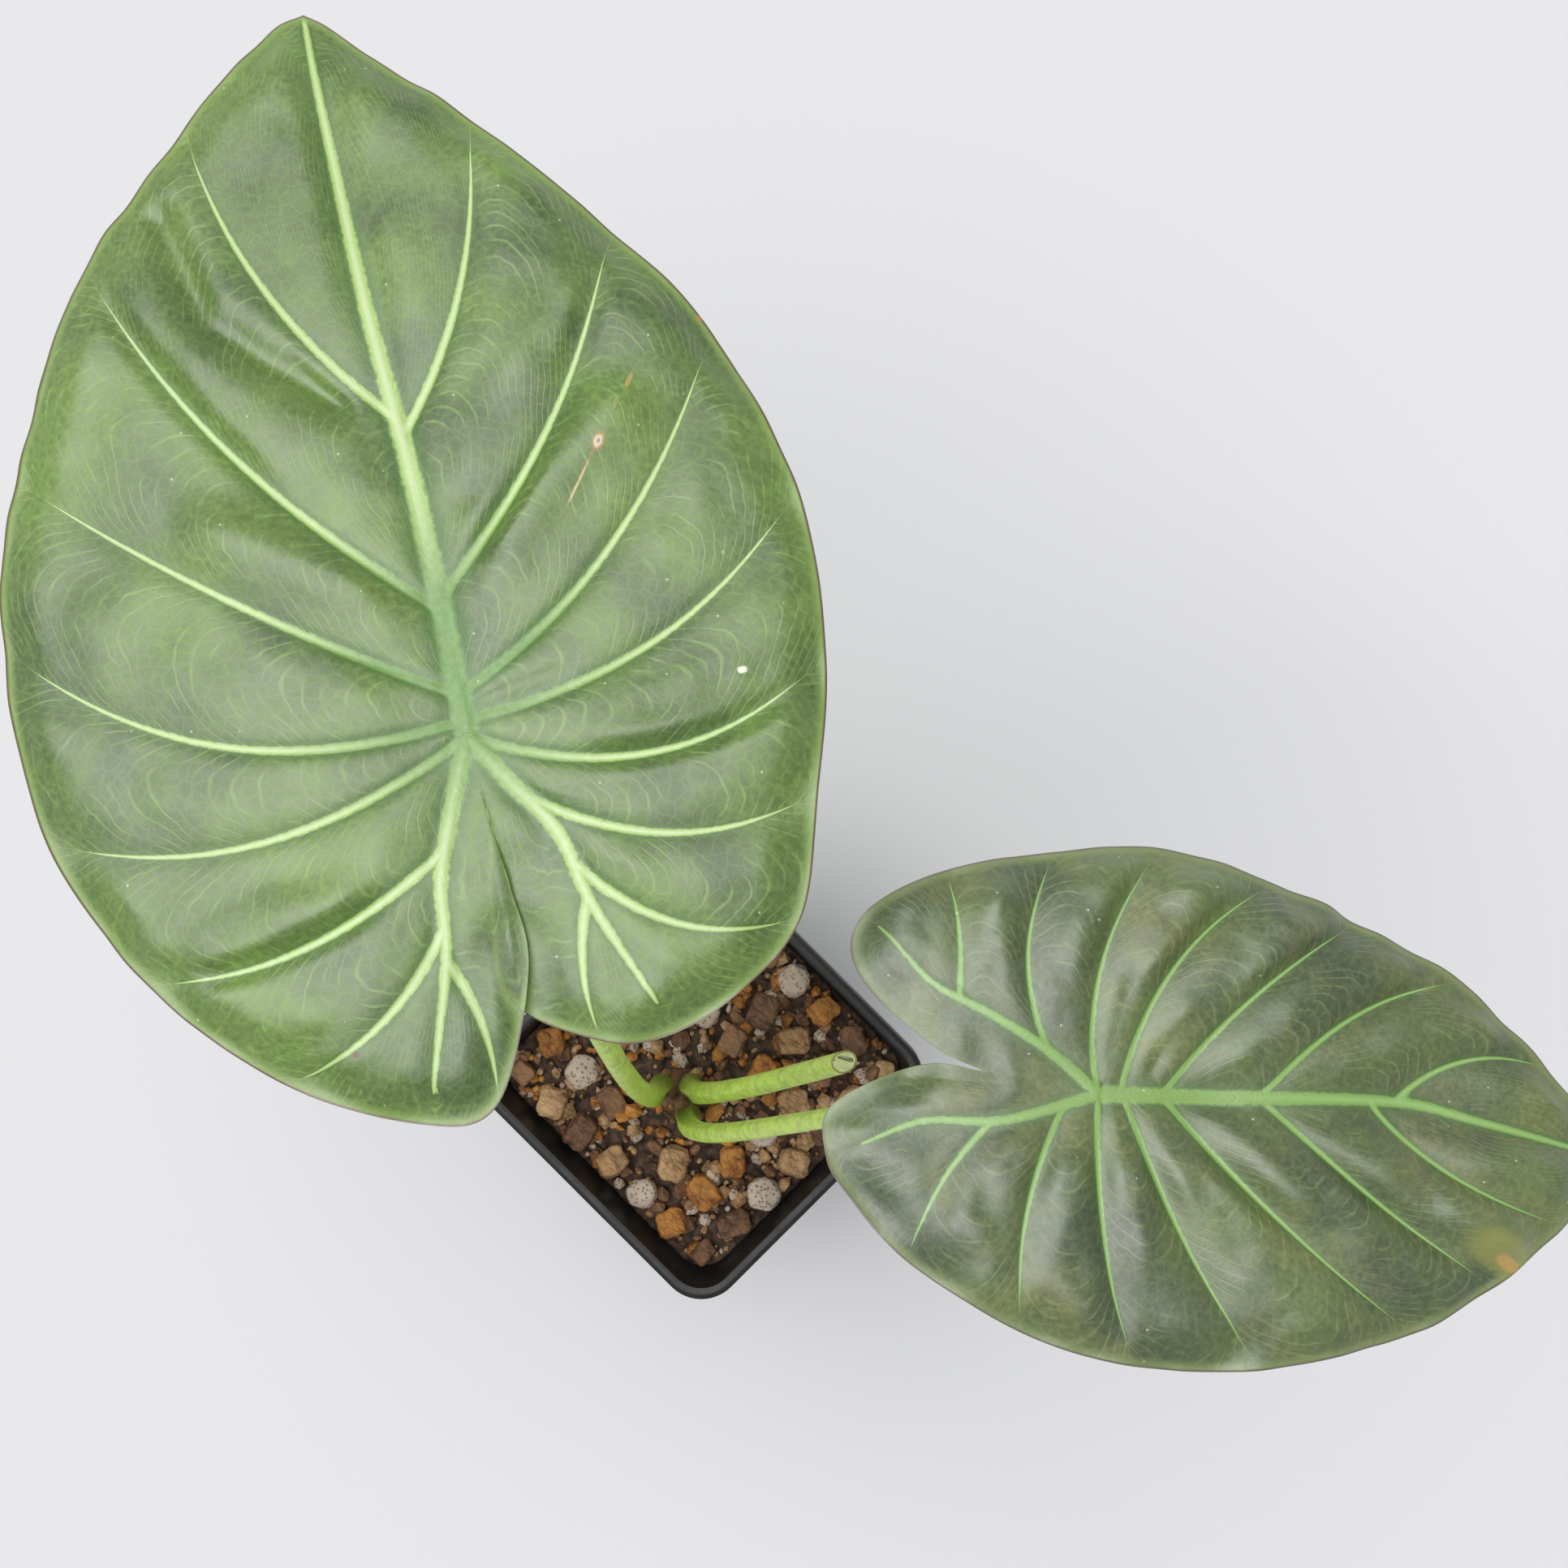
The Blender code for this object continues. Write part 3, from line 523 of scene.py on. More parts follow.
def makeBlade(leaf, place, materials):
    bm = bladePanels(leaf)
    bmesh.ops.remove_doubles(bm, verts=bm.verts, dist=0.02)
    bmesh.ops.dissolve_degenerate(bm, edges=bm.edges, dist=0.01)
    bmesh.ops.recalc_face_normals(bm, faces=bm.faces)
    if sum(f.normal.z * f.calc_area() for f in bm.faces) < 0:
        bmesh.ops.reverse_faces(bm, faces=bm.faces)

    r = np.linspace(0, 1, 40)
    veinTaper = leaf["veinWidth"] * np.clip((0.91 - r) / 0.8, 0.001, 1) ** 0.6
    veins, rim = [], []
    for columns in (leaf["left"], leaf["right"]):
        veins += [(veinPath(leaf, column, r), veinTaper) for column in columns if column[4]]
        places = np.linspace(0, len(columns) - 1, 260)
        rim.append((curveAt([c[3] for c in columns], places), np.ones(len(places))))
    ribTaper = 0.2 + 0.8 * (1 - r) ** 0.8
    ribs = [(ribAt(rib, r), leaf["ribWidth"][name] * ribTaper)
            for name, rib in leaf["ribs"].items()]

    bm.verts.index_update()
    co = np.array([v.co for v in bm.verts])
    xy = co[:, :2]
    toVein, veinWide = nearestOn(xy, veins)
    toRib, ribWide = nearestOn(xy, ribs)
    edge = nearestOn(xy, rim)[0]
    fromHub = np.hypot(*xy.T)
    toAny = np.minimum(toVein, toRib)
    notch = smoothStep(22, 12, np.hypot(xy[:, 0] - 1, xy[:, 1] + 26))  # its rim stays plain green

    beside = smoothStep(0.5, 2.4, toRib)  # side veins fade out where they meet a rib
    ribShare = ribWide / bladeShape["widestRib"]
    z = co[:, 2] + plainHeight(leaf, xy)
    fine = lumps(xy, 11, 3.1) + 0.5 * lumps(xy, 5, 8.4)
    z += leaf["pucker"] * fine * smoothStep(1.5, 7, toAny) * smoothStep(0, 6, edge)
    z += leaf["wave"] * 2.2 * lumps(xy, 30, 5.7) * smoothStep(4, 25, fromHub)
    valley = ridge(toVein, *bladeShape["veinValley"]) * smoothStep(0, 5, edge)
    z -= valley * np.minimum(1, veinWide) * beside
    z += ridge(toVein, *bladeShape["veinCord"]) * veinWide * beside
    z -= ridge(toRib, *bladeShape["ribValley"]) * ribShare
    z += ridge(toRib, *bladeShape["ribCord"]) * ribShare
    shown = np.maximum(smoothStep(0.4, 4, toAny), smoothStep(9, 3, edge))  # folds stop at the veins
    for wide, tall, *points in leaf["folds"]:
        distance = nearestOn(xy, [(np.array(points, float), np.ones(len(points)))])[0]
        z += ridge(distance, tall, wide) * shown
    z -= ridge(edge, *bladeShape["marginFall"]) * smoothStep(15, 40, fromHub)
    frill = ridge(edge, *bladeShape["marginFrill"]) * lumps(xy, 9, 1.7)
    z += leaf["wave"] * frill * smoothStep(12, 30, fromHub)
    for vert, height in zip(bm.verts, z):
        vert.co.z = height
        vert.co = place @ vert.co
    piece = finishPiece(leaf["name"], bm, materials, [leaf["node"]])
    band = np.minimum(toVein / veinWide, toRib / ribWide)
    for name, values in (("band", band), ("edge", edge + 1.2 * notch)):
        layer = piece.data.attributes.new(name, "FLOAT", "POINT")
        layer.data.foreach_set("value", values.astype(np.float32))

    # thickness: thin between the veins, with ribs and veins standing out beneath
    thick = bladeShape["skin"] * (0.5 + 0.5 * smoothStep(0, 3, edge))
    thick += ridge(toRib, bladeShape["ribBeneath"] * ribWide, ribWide)
    thick += ridge(toVein, *bladeShape["veinBeneath"]) * veinWide * smoothStep(0, 6, edge)
    thick = np.clip(thick / bladeShape["thickest"], 0.05, 1)
    group = piece.vertex_groups.new(name="thickness")
    for index, weight in enumerate(thick):
        group.add([index], float(weight), "REPLACE")
    skin = piece.modifiers.new("thickness", "SOLIDIFY")
    skin.thickness = bladeShape["thickest"] * mm
    skin.offset = -1
    skin.vertex_group = "thickness"
    skin.material_offset = 1
    skin.material_offset_rim = 2
    print(leaf["name"], len(piece.data.polygons), "faces")


# Waxy leaf skin: the top is a satin cuticle over dark green, which turns grey where it mirrors the
# light. Pale veins lie in it, with fine arcs between them and a thin coloured margin.

largeLook = {
    "dark": "#3f5d19",
    "middle": "#688a2c",
    "arcs": "#94b65e",
    "arcStrength": 0.42,
    "vein": "#a6cb5e",
    # the pale colour below is a painted highlight for the veins' crests
    "veinPale": "#cfe4a9",
    "ribGreen": "#5f941f",
    # the colour below is painted shade for the slopes beside the veins
    "halo": "#41701a",
    "marginBand": "#86a54a",
    "marginEdge": "#6d5540",
    "mottle": "#7d984a",
    "mottleStrength": 0.3,
    "underside": "#8ea872",
    "roughness": 0.46,
    "index": 1.65,
    # marks of age: x and y on the plan, half sizes, turn in degrees, colour, strength
    "marks": (
        (26.8, 38.2, 0.38, 7.0, -37, "#8d7a3c", 0.85),
        (26.4, 37.6, 0.2, 5.0, -37, "#d9cf95", 0.9),
        (31.0, 43.7, 1.1, 1.9, -38, "#b08b48", 0.95),
        (31.0, 43.7, 0.75, 1.25, -38, "#e2d3b4", 0.95),
        (31.0, 43.7, 0.3, 0.45, -38, "#9a7459", 0.8),
        (37.9, 53.5, 0.5, 1.8, -30, "#b3a44e", 0.85),
        (35.2, 49.8, 0.4, 1.5, -30, "#98a44e", 0.8),
        (45.8, 0.9, 0.9, 0.7, 0, "#eef3d8", 1.0),
        (-26.3, -46.2, 0.7, 0.6, 0, "#6b4a2a", 1.0),
        (52.4, 64.3, 1.0, 0.7, 30, "#c9803a", 1.0),
        (-4.8, 139.4, 1.5, 1.1, 0, "#e9dcc0", 1.0),
    ),
}
smallLook = {
    "dark": "#32471a",
    "middle": "#5a6d2e",
    "arcs": "#929d5e",
    "arcStrength": 0.36,
    "vein": "#7dab4a",
    # the pale colour below is a painted highlight for the veins' crests
    "veinPale": "#95be68",
    "ribGreen": "#7ba742",
    # the colour below is painted shade for the slopes beside the veins
    "halo": "#42691a",
    "marginBand": "#7b8d50",
    "marginEdge": "#6d6450",
    "mottle": "#8f8a45",
    "mottleStrength": 0.35,
    "underside": "#8ba26d",
    "roughness": 0.46,
    "index": 1.72,
    "marks": (
        (21.4, 76.9, 4.5, 9.0, -28, "#93963f", 0.6),
        (23.3, 78.3, 1.6, 3.8, -28, "#c79c48", 0.75),
    ),
}


sharedLook = {"dust": "#dfe8c4", "arcsBelow": "#6f8c50", "veinBelow": "#b9cf8d",
              "edgeGreen": "#7d8a52"}


def makeLeafTop(leaf, look, place):
    material, tree, shader, coords = newMaterial(leaf["name"] + "WaxyTop",
                                                 Roughness=look["roughness"],
                                                 IOR=look["index"], Specular_IOR_Level=1.0)
    band = addNode(tree, "Attribute", {"attribute_name": "band"}).outputs["Fac"]
    edge = addNode(tree, "Attribute", {"attribute_name": "edge"}).outputs["Fac"]
    lanes = addNode(tree, "SeparateXYZ", Vector=addNode(tree, "UVMap", {"uv_map": "lanes"}))
    broad = noiseOf(tree, coords, 45.0, 3.0)  # 22 mm clouds
    grain = noiseOf(tree, coords, 900.0, 2.0)  # 1 mm mottle
    bend = noiseOf(tree, coords, 110.0, 2.5)  # 9 mm: how the arcs wander
    fade = noiseOf(tree, coords, 160.0, 1.0)  # 6 mm: where they fade out

    # arcs between the side veins: a main one every 2.8 mm and a faint one every 0.8 mm
    swing = maths(tree, "MULTIPLY_ADD", bend, 5.5, lanes.outputs["Y"])
    wide = maths(tree, "PINGPONG", swing, 1.4)
    fine = maths(tree, "PINGPONG", swing, 0.4)
    wide = remap(tree, wide, 0.08, 0.42, 1.0, 0.0, smooth=True)
    fine = remap(tree, fine, 0.0, 0.3, 0.12, 0.0)
    shown = remap(tree, fade, 0.36, 0.6)
    wide = maths(tree, "MULTIPLY", wide, shown)
    net = addNode(tree, "TexVoronoi", {"feature": "DISTANCE_TO_EDGE"}, Vector=coords, Scale=420.0)
    net = remap(tree, net, 0.02, 0.12, 0.35, 0.0)
    arcs = maths(tree, "MAXIMUM", wide, fine)
    arcs = maths(tree, "MAXIMUM", arcs, net)

    cloud = remap(tree, broad, 0.35, 0.65)
    colour = blend(tree, cloud, look["dark"], look["middle"])
    blotch = noiseOf(tree, coords, 75.0, 4.0, Distortion=0.6)
    blotch = remap(tree, blotch, 0.5, 0.72, 0.0, look["mottleStrength"])
    colour = blend(tree, blotch, colour, look["mottle"])
    arcAmount = maths(tree, "MULTIPLY", arcs, look["arcStrength"])
    colour = blend(tree, arcAmount, colour, look["arcs"])
    speckle = remap(tree, grain, 0.3, 0.7, 0.82, 1.2)
    colour = blend(tree, 1.0, colour, speckle, "MULTIPLY")

    # veins: painted shade, a darker saturated edge beside each vein where its groove slopes away
    # from the light, then the pale cord with a painted highlight along its crest, darker green near
    # the stalk
    rough = maths(tree, "MULTIPLY_ADD", grain, 0.7, -0.35)
    ragged = maths(tree, "ADD", band, rough)
    # painted shade: the groove slopes beside each vein drawn darker and more saturated
    halo = remap(tree, ragged, 1.0, 3.0, 0.75, 0.0, smooth=True)
    colour = blend(tree, halo, colour, look["halo"])
    hubPlace = place @ Vector((0, 12, 0))
    hubAway = addNode(tree, "VectorMath", {"operation": "DISTANCE"}, i0=coords, i1=tuple(hubPlace))
    hubAway = remap(tree, hubAway.outputs["Value"], 0.012, 0.034)
    cord = blend(tree, hubAway, look["ribGreen"], look["vein"])
    # painted highlight: the vein's crest drawn paler, as if it mirrored the light, fading out near
    # the stalk
    paintedCrestHighlight = remap(tree, band, 0.1, 0.8, 0.8, 0.0, smooth=True)
    paintedCrestHighlight = maths(tree, "MULTIPLY", paintedCrestHighlight, hubAway)
    cord = blend(tree, paintedCrestHighlight, cord, look["veinPale"])
    onVein = remap(tree, ragged, 0.75, 1.35, 1.0, 0.0, smooth=True)
    colour = blend(tree, onVein, colour, cord)

    # margin: a lighter band and a thin dark line at the very edge
    margin = remap(tree, edge, 0.5, 2.2, 0.8, 0.0, smooth=True)
    colour = blend(tree, margin, colour, look["marginBand"])
    line = remap(tree, edge, 0.2, 0.5, 0.9, 0.0)
    colour = blend(tree, line, colour, look["marginEdge"])

    # dust specks, and the few marks of age
    dots = addNode(tree, "TexVoronoi", {"feature": "F1"}, Vector=coords, Scale=190.0)
    dots = remap(tree, dots.outputs["Distance"], 0.03, 0.05, 0.6, 0.0)
    colour = blend(tree, dots, colour, sharedLook["dust"])
    for x, y, halfX, halfY, turn, shade, strength in look["marks"]:
        spot = place @ Vector((x, y, 0))
        angle = math.radians(turn + leaf["tilt"][0] + plantHeading)
        size = (halfX * mm, halfY * mm, 0.02)
        local = addNode(tree, "Mapping", {"vector_type": "TEXTURE"}, Vector=coords,
                        Location=tuple(spot), Rotation=(0, 0, angle), Scale=size)
        reach = addNode(tree, "VectorMath", {"operation": "LENGTH"}, i0=local)
        reach = maths(tree, "ADD", reach.outputs["Value"], rough)
        inside = remap(tree, reach, 0.6, 1.1, strength, 0.0, smooth=True)
        colour = blend(tree, inside, colour, shade)

    shine = remap(tree, grain, 0.3, 0.7, look["roughness"] - 0.05, look["roughness"] + 0.08)
    plug(tree, shine, shader, "Roughness")
    relief = maths(tree, "MULTIPLY_ADD", arcs, -0.5, grain)
    finishLook(tree, shader, colour, relief, 0.35, 0.00012)
    return material


def makeLeafUnderside(leaf, look):
    # the underside is paler and has no wax, with the ribs standing out lighter still
    material, tree, shader, coords = newMaterial(leaf["name"] + "MattUnderside", Roughness=0.6)
    band = addNode(tree, "Attribute", {"attribute_name": "band"}).outputs["Fac"]
    lanes = addNode(tree, "SeparateXYZ", Vector=addNode(tree, "UVMap", {"uv_map": "lanes"}))
    bend = noiseOf(tree, coords, 110.0, 1.0)
    swing = maths(tree, "MULTIPLY_ADD", bend, 4.5, lanes.outputs["Y"])
    wide = maths(tree, "PINGPONG", swing, 1.2)
    wide = remap(tree, wide, 0.1, 0.4, 0.5, 0.0)
    cloud = noiseOf(tree, coords, 70.0, 4.0)
    shade = remap(tree, cloud, 0.3, 0.7, 0.85, 1.12)
    colour = blend(tree, 1.0, look["underside"], shade, "MULTIPLY")
    colour = blend(tree, wide, colour, sharedLook["arcsBelow"])
    onVein = remap(tree, band, 0.7, 1.4, 1.0, 0.0, smooth=True)
    colour = blend(tree, onVein, colour, sharedLook["veinBelow"])
    finishLook(tree, shader, colour, cloud, 0.3, 0.0002)
    return material


def makeLeafEdge(leaf, look):
    # the margin's rim: a hard, dry line
    material, tree, shader, coords = newMaterial(leaf["name"] + "DryEdge", Roughness=0.55)
    cloud = noiseOf(tree, coords, 160.0, 3.0)
    colour = blend(tree, cloud, look["marginEdge"], sharedLook["edgeGreen"])
    plug(tree, colour, shader, "Base Color")
    return material


for leaf, look in ((largeLeaf, largeLook), (smallLeaf, smallLook)):
    place = bladePlace(leaf)
    top = makeLeafTop(leaf, look, place)
    makeBlade(leaf, place, [top, makeLeafUnderside(leaf, look), makeLeafEdge(leaf, look)])
print("blades done")


# Stalks: foot on the corm and top at the blade, in the plant's own axes and in mm, with the radius
# at foot, neck and top. Groove is the depth of the open sheath's channel, as a share of the radius.

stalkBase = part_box("corm")[1].z + 0.3 * mm
stalks = {
    "large": {"node": "petiole_large", "foot": (-12.5, -4.0), "radii": (3.6, 2.9, 2.1),
              "leaf": largeLeaf, "groove": 0.30, "shift": 0.0},
    "small": {"node": "petiole_small", "foot": (-4.2, -12.6), "radii": (3.4, 2.6, 1.9),
              "leaf": smallLeaf, "groove": 0.34, "shift": 2.1},
    "stub": {"node": "petiole_stub", "foot": (-3.5, -3.5), "radii": (3.3, 2.8, 2.6),
             "end": (38.5, 21.0, 180.0), "cutTilt": 35, "groove": 0.26, "shift": 4.2},
}
# rise, swing and lean shape the curve, centre is where the sheaths face, and the rest is in mm
stalkShape = {"rise": 0.30, "swing": 0.35, "lean": 0.45, "sheath": 55.0, "around": 36, "along": 130,
              "centre": (-7, -7), "stubFoot": 77, "intoBlade": 2.4, "flare": 7, "driedRim": 0.45}
stalkLook = {"pith": "#c3cf8a", "driedPith": "#b3a568", "base": "#93b52c", "middle": "#bede52",
             "top": "#c4de6a", "streak": "#d8e68c", "cutFace": "#dfe6b0",
             "cutRim": "#8a7a3e", "dry": "#8d7a4a"}


def stalkRoute(stalk):
    # points from foot to top, and the direction at the top
    start = Vector((stalk["foot"][0] * mm, stalk["foot"][1] * mm, stalkBase))
    if "leaf" in stalk:
        tilt = leafTilt(stalk["leaf"])
        up, forward = tilt @ Vector((0, 0, 1)), tilt @ Vector((0, 1, 0))
        arrival = (up + stalkShape["lean"] * forward).normalized()
        end = Vector(stalk["leaf"]["hub"]) * mm - up * stalkShape["intoBlade"] * mm
    else:
        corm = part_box("corm")
        middle = plantTurn.inverted() @ ((corm[0] + corm[1]) / 2)
        cutPlace = Vector(stalk["end"]) * mm
        below = Vector((middle.x, middle.y, stalkShape["stubFoot"] * mm))
        arrival = (cutPlace - below).normalized()
        end = cutPlace + arrival * 2 * stalk["radii"][2] * mm  # past the cut, which trims it
    span = (end - start).length
    leave = start + Vector((0, 0, span * stalkShape["rise"]))
    reach = end - arrival * span * stalkShape["swing"]
    return interpolate_bezier(start, leave, reach, end, stalkShape["along"] + 1), arrival


def makeStalk(name, stalk, materials):
    route, arrival = stalkRoute(stalk)
    lengths = [0.0]
    for a, b in zip(route, route[1:]):
        lengths.append(lengths[-1] + (b - a).length / mm)
    total = lengths[-1]
    bm = bmesh.new()
    uvLayer = bm.loops.layers.uv.new("skin")
    around, along = stalkShape["around"], stalkShape["along"]
    grid = bmesh.ops.create_grid(bm, x_segments=around, y_segments=along, size=0.5)
    foot, neck, top = stalk["radii"]
    # the sheath opens to the middle
    inward = Vector((*stalkShape["centre"], 0)) - Vector((*stalk["foot"], 0))
    sheathLength = stalkShape["sheath"]
    skinPlace = {}
    for vert in grid["verts"]:
        u, v = vert.co.x + 0.5, vert.co.y + 0.5
        j = round(v * along)
        ahead = (route[min(j + 1, along)] - route[max(j - 1, 0)]).normalized()
        side = ahead.cross(inward).normalized()
        face = side.cross(ahead).normalized()  # towards the middle of the plant
        length = lengths[j]
        sheath = float(smoothStep(0, sheathLength, length))
        beyond = max(0, length - sheathLength) / (total - sheathLength)
        radius = foot + (neck - foot) * sheath + (top - neck) * beyond
        angle = u * math.tau
        facing = math.cos(angle)
        groove = stalk["groove"] * (1 - 0.75 * sheath)
        # the sheath's two lips
        wings = 0.16 * (1 - sheath) * math.exp(-((facing - 0.72) / 0.16) ** 2)
        radius *= 1 - groove * float(smoothStep(0.7, 1.0, facing)) + wings
        uneven = noise.noise(Vector((facing, length / 14, stalk["shift"])))
        radius *= 1 + 0.012 * math.sin(9 * angle + stalk["shift"]) + 0.03 * uneven
        if "leaf" in stalk:  # widens into the leaf's ribs
            radius *= 1 + 0.35 * float(smoothStep(total - stalkShape["flare"], total, length))
        spot = route[j] + (face * math.cos(angle) + side * math.sin(angle)) * radius * mm
        skinPlace[vert] = (u * 8, length)
        vert.co = plantTurn @ spot
    for face in bm.faces:
        for loop in face.loops:
            loop[uvLayer].uv = skinPlace[loop.vert]
    bmesh.ops.remove_doubles(bm, verts=bm.verts, dist=0.00001)
    if "cutTilt" in stalk:
        across = arrival.cross(Vector((0, 0, 1))).normalized()
        slant = Matrix.Rotation(math.radians(stalk["cutTilt"]), 3, across) @ arrival
        cut = bmesh.ops.bisect_plane(bm, geom=bm.verts[:] + bm.edges[:] + bm.faces[:],
                                     plane_co=plantTurn @ (Vector(stalk["end"]) * mm),
                                     plane_no=plantTurn.to_3x3() @ slant, clear_outer=True)
        cutEdges = [e for e in cut["geom_cut"] if isinstance(e, bmesh.types.BMEdge)]
        lid = bmesh.ops.holes_fill(bm, edges=cutEdges)["faces"]
        rimFaces = bmesh.ops.inset_region(bm, faces=lid, thickness=stalkShape["driedRim"] * mm,
                                          depth=0.0)["faces"]
        hollow = bmesh.ops.inset_region(bm, faces=lid, thickness=0.5 * mm, depth=-0.2 * mm)["faces"]
        for face in lid + hollow:
            face.material_index = 1
        for face in rimFaces:
            face.material_index = 2
    bmesh.ops.holes_fill(bm, edges=boundaryOf(bm))
    bmesh.ops.recalc_face_normals(bm, faces=bm.faces)
    piece = finishPiece(name, bm, materials, [stalk["node"]])
    piece.data.set_sharp_from_angle(angle=math.radians(50))


def makeStalkSkin():
    # succulent stalk: smooth, faintly glossy, deep green at the foot, yellower and streaked above
    material, tree, shader, coords = newMaterial("stalkSkin", Roughness=0.42,
                                                 Subsurface_Weight=0.12,
                                                 Subsurface_Radius=(0.4, 0.6, 0.1),
                                                 Subsurface_Scale=0.004)
    skin = addNode(tree, "UVMap", {"uv_map": "skin"})
    parts = addNode(tree, "SeparateXYZ", Vector=skin)
    low = remap(tree, parts.outputs["Y"], 2.0, 34.0, smooth=True)
    high = remap(tree, parts.outputs["Y"], 60.0, 200.0)
    colour = blend(tree, low, stalkLook["base"], stalkLook["middle"])
    colour = blend(tree, high, colour, stalkLook["top"])
    # streaks run along the stalk
    stretched = addNode(tree, "Mapping", Vector=skin, Scale=(2.2, 0.05, 1.0))
    streak = noiseOf(tree, stretched, 1.6, 4.0)
    streaks = remap(tree, streak, 0.45, 0.7, 0.0, 0.5)
    colour = blend(tree, streaks, colour, stalkLook["streak"])
    spots = noiseOf(tree, coords, 420.0, 3.0)
    dark = remap(tree, spots, 0.35, 0.6, 0.78, 1.05)
    colour = blend(tree, 1.0, colour, dark, "MULTIPLY")
    husk = remap(tree, parts.outputs["Y"], 1.0, 7.0, 0.8, 0.0)
    husk = maths(tree, "MULTIPLY", husk, spots)
    colour = blend(tree, husk, colour, stalkLook["dry"])
    finishLook(tree, shader, colour, streak, 0.35, 0.0002)
    return material


def makeGrainy(name, light, dark, roughness, scale, bumpDepth, detail=4.0):
    # a plain rough finish of two tones with grain of one size
    material, tree, shader, coords = newMaterial(name, Roughness=roughness)
    grain = noiseOf(tree, coords, scale, detail)
    tones = remap(tree, grain, 0.35, 0.65)
    colour = blend(tree, tones, dark, light)
    finishLook(tree, shader, colour, grain, 0.6, bumpDepth)
    return material


stalkSkin = makeStalkSkin()
stalkCut = makeGrainy("stalkCutPith", stalkLook["cutFace"], stalkLook["pith"], 0.6, 900.0, 0.0002)
stalkRim = makeGrainy("stalkCutDriedRim", stalkLook["cutRim"], stalkLook["driedPith"], 0.7, 700.0,
                      0.0002)
for key, stalk in stalks.items():
    makeStalk("stalk" + key.capitalize(), stalk, [stalkSkin, stalkCut, stalkRim])
print("stalks done")


# Pot: thermoformed square nursery pot with a rolled rim

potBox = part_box("pot")
pot = {
    "mouth": (potBox[1].x - potBox[0].x) / mm,
    "height": potBox[1].z / mm,
    "base": 70.0,
    "wall": 1.0,
    "corner": 11.0,
    "baseRound": 2.5,
    "rimReach": 2.2,
    "rimDrop": 7.0,
    "rimRound": 0.45,
    "drain": (22.5, 4.0),  # how far each hole is from the middle along both sides, and its radius
    "cornerSegments": 12,
    "plastic": "#1b1b1c",
    "dust": "#3a3531",
    "scuff": "#5a5856",
}


def wallWidth(height):
    # the tapering wall's outer width
    top = pot["mouth"] - 2 * pot["rimReach"]
    return pot["base"] + (top - pot["base"]) * height / pot["height"]


def roundEdges(bm, edges, radius, segments, clamp=False):
    bmesh.ops.bevel(bm, geom=edges, offset=radius * mm, segments=segments, profile=0.5,
                    affect="EDGES", material=-1, clamp_overlap=clamp)


def taperedBlock(low, high, lowWidth, highWidth, corner, segments, lowerRound):
    bm = bmesh.new()
    bmesh.ops.create_cube(bm, size=1.0)
    for vert in bm.verts:
        top = vert.co.z > 0
        width = highWidth if top else lowWidth
        vert.co = Vector((vert.co.x * width, vert.co.y * width, high if top else low)) * mm
    steep = (high - low) * mm / 2
    uprights = [e for e in bm.edges if abs(e.verts[0].co.z - e.verts[1].co.z) > steep]
    roundEdges(bm, uprights, corner, segments)
    lower = [e for e in bm.edges if all(abs(v.co.z - low * mm) < 1e-6 for v in e.verts)]
    roundEdges(bm, lower, lowerRound, 4)
    return bm


def makePot(materials):
    top = pot["height"] - pot["wall"]
    bm = taperedBlock(0.0, top, pot["base"], wallWidth(top), pot["corner"], pot["cornerSegments"],
                      pot["baseRound"])
    lid = [f for f in bm.faces if all(abs(v.co.z - top * mm) < 1e-6 for v in f.verts)]
    bmesh.ops.delete(bm, geom=lid, context="FACES_ONLY")
    rim = boundaryOf(bm)
    soft = pot["rimRound"]
    reach = pot["rimReach"] - pot["wall"]
    drop = pot["rimDrop"] - pot["wall"]
    roll = ((soft, -soft * 0.4), (reach - 2 * soft, 0.0), (soft, soft * 0.5), (0.12, soft),
            (0.0, drop - 2.2 * soft), (-0.1, soft * 0.6))
    for out, down in roll:  # the rolled rim, step by step outwards and down
        grown = bmesh.ops.extrude_edge_only(bm, edges=rim)["geom"]
        ring = [v for v in grown if isinstance(v, bmesh.types.BMVert)]
        half = max(v.co.x for v in ring)
        for vert in ring:
            vert.co.x *= (half + out * mm) / half
            vert.co.y *= (half + out * mm) / half
            vert.co.z -= down * mm
        rim = [e for e in grown if isinstance(e, bmesh.types.BMEdge)]
    bmesh.ops.recalc_face_normals(bm, faces=bm.faces)
    bm.normal_update()
    lowest = min(bm.faces, key=lambda f: f.calc_center_median().z)
    if lowest.normal.z > 0:
        bmesh.ops.reverse_faces(bm, faces=bm.faces)
    piece = finishPiece("nurseryPot", bm, materials, ["pot"])
    shell = piece.modifiers.new("wall", "SOLIDIFY")
    shell.thickness = pot["wall"] * mm
    shell.offset = -1.0
    shell.use_even_offset = True
    bm = bmesh.new()
    offset, radius = pot["drain"]
    for x in (-offset, offset):
        for y in (-offset, offset):
            spot = Matrix.Translation((x * mm, y * mm, 0.0))
            bmesh.ops.create_cone(bm, cap_ends=True, segments=32, radius1=radius * mm,
                                  radius2=radius * mm, depth=6 * mm, matrix=spot)
    cutter = meshObject("drains", bm)
    holes = piece.modifiers.new("drains", "BOOLEAN")
    holes.operation = "DIFFERENCE"
    holes.object = cutter
    bpy.context.view_layer.update()
    drilled = piece.evaluated_get(bpy.context.evaluated_depsgraph_get())
    mesh = bpy.data.meshes.new_from_object(drilled)
    piece.modifiers.clear()
    piece.data = mesh
    bpy.data.objects.remove(cutter, do_unlink=True)
    mesh.shade_smooth()
    mesh.set_sharp_from_angle(angle=math.radians(35))


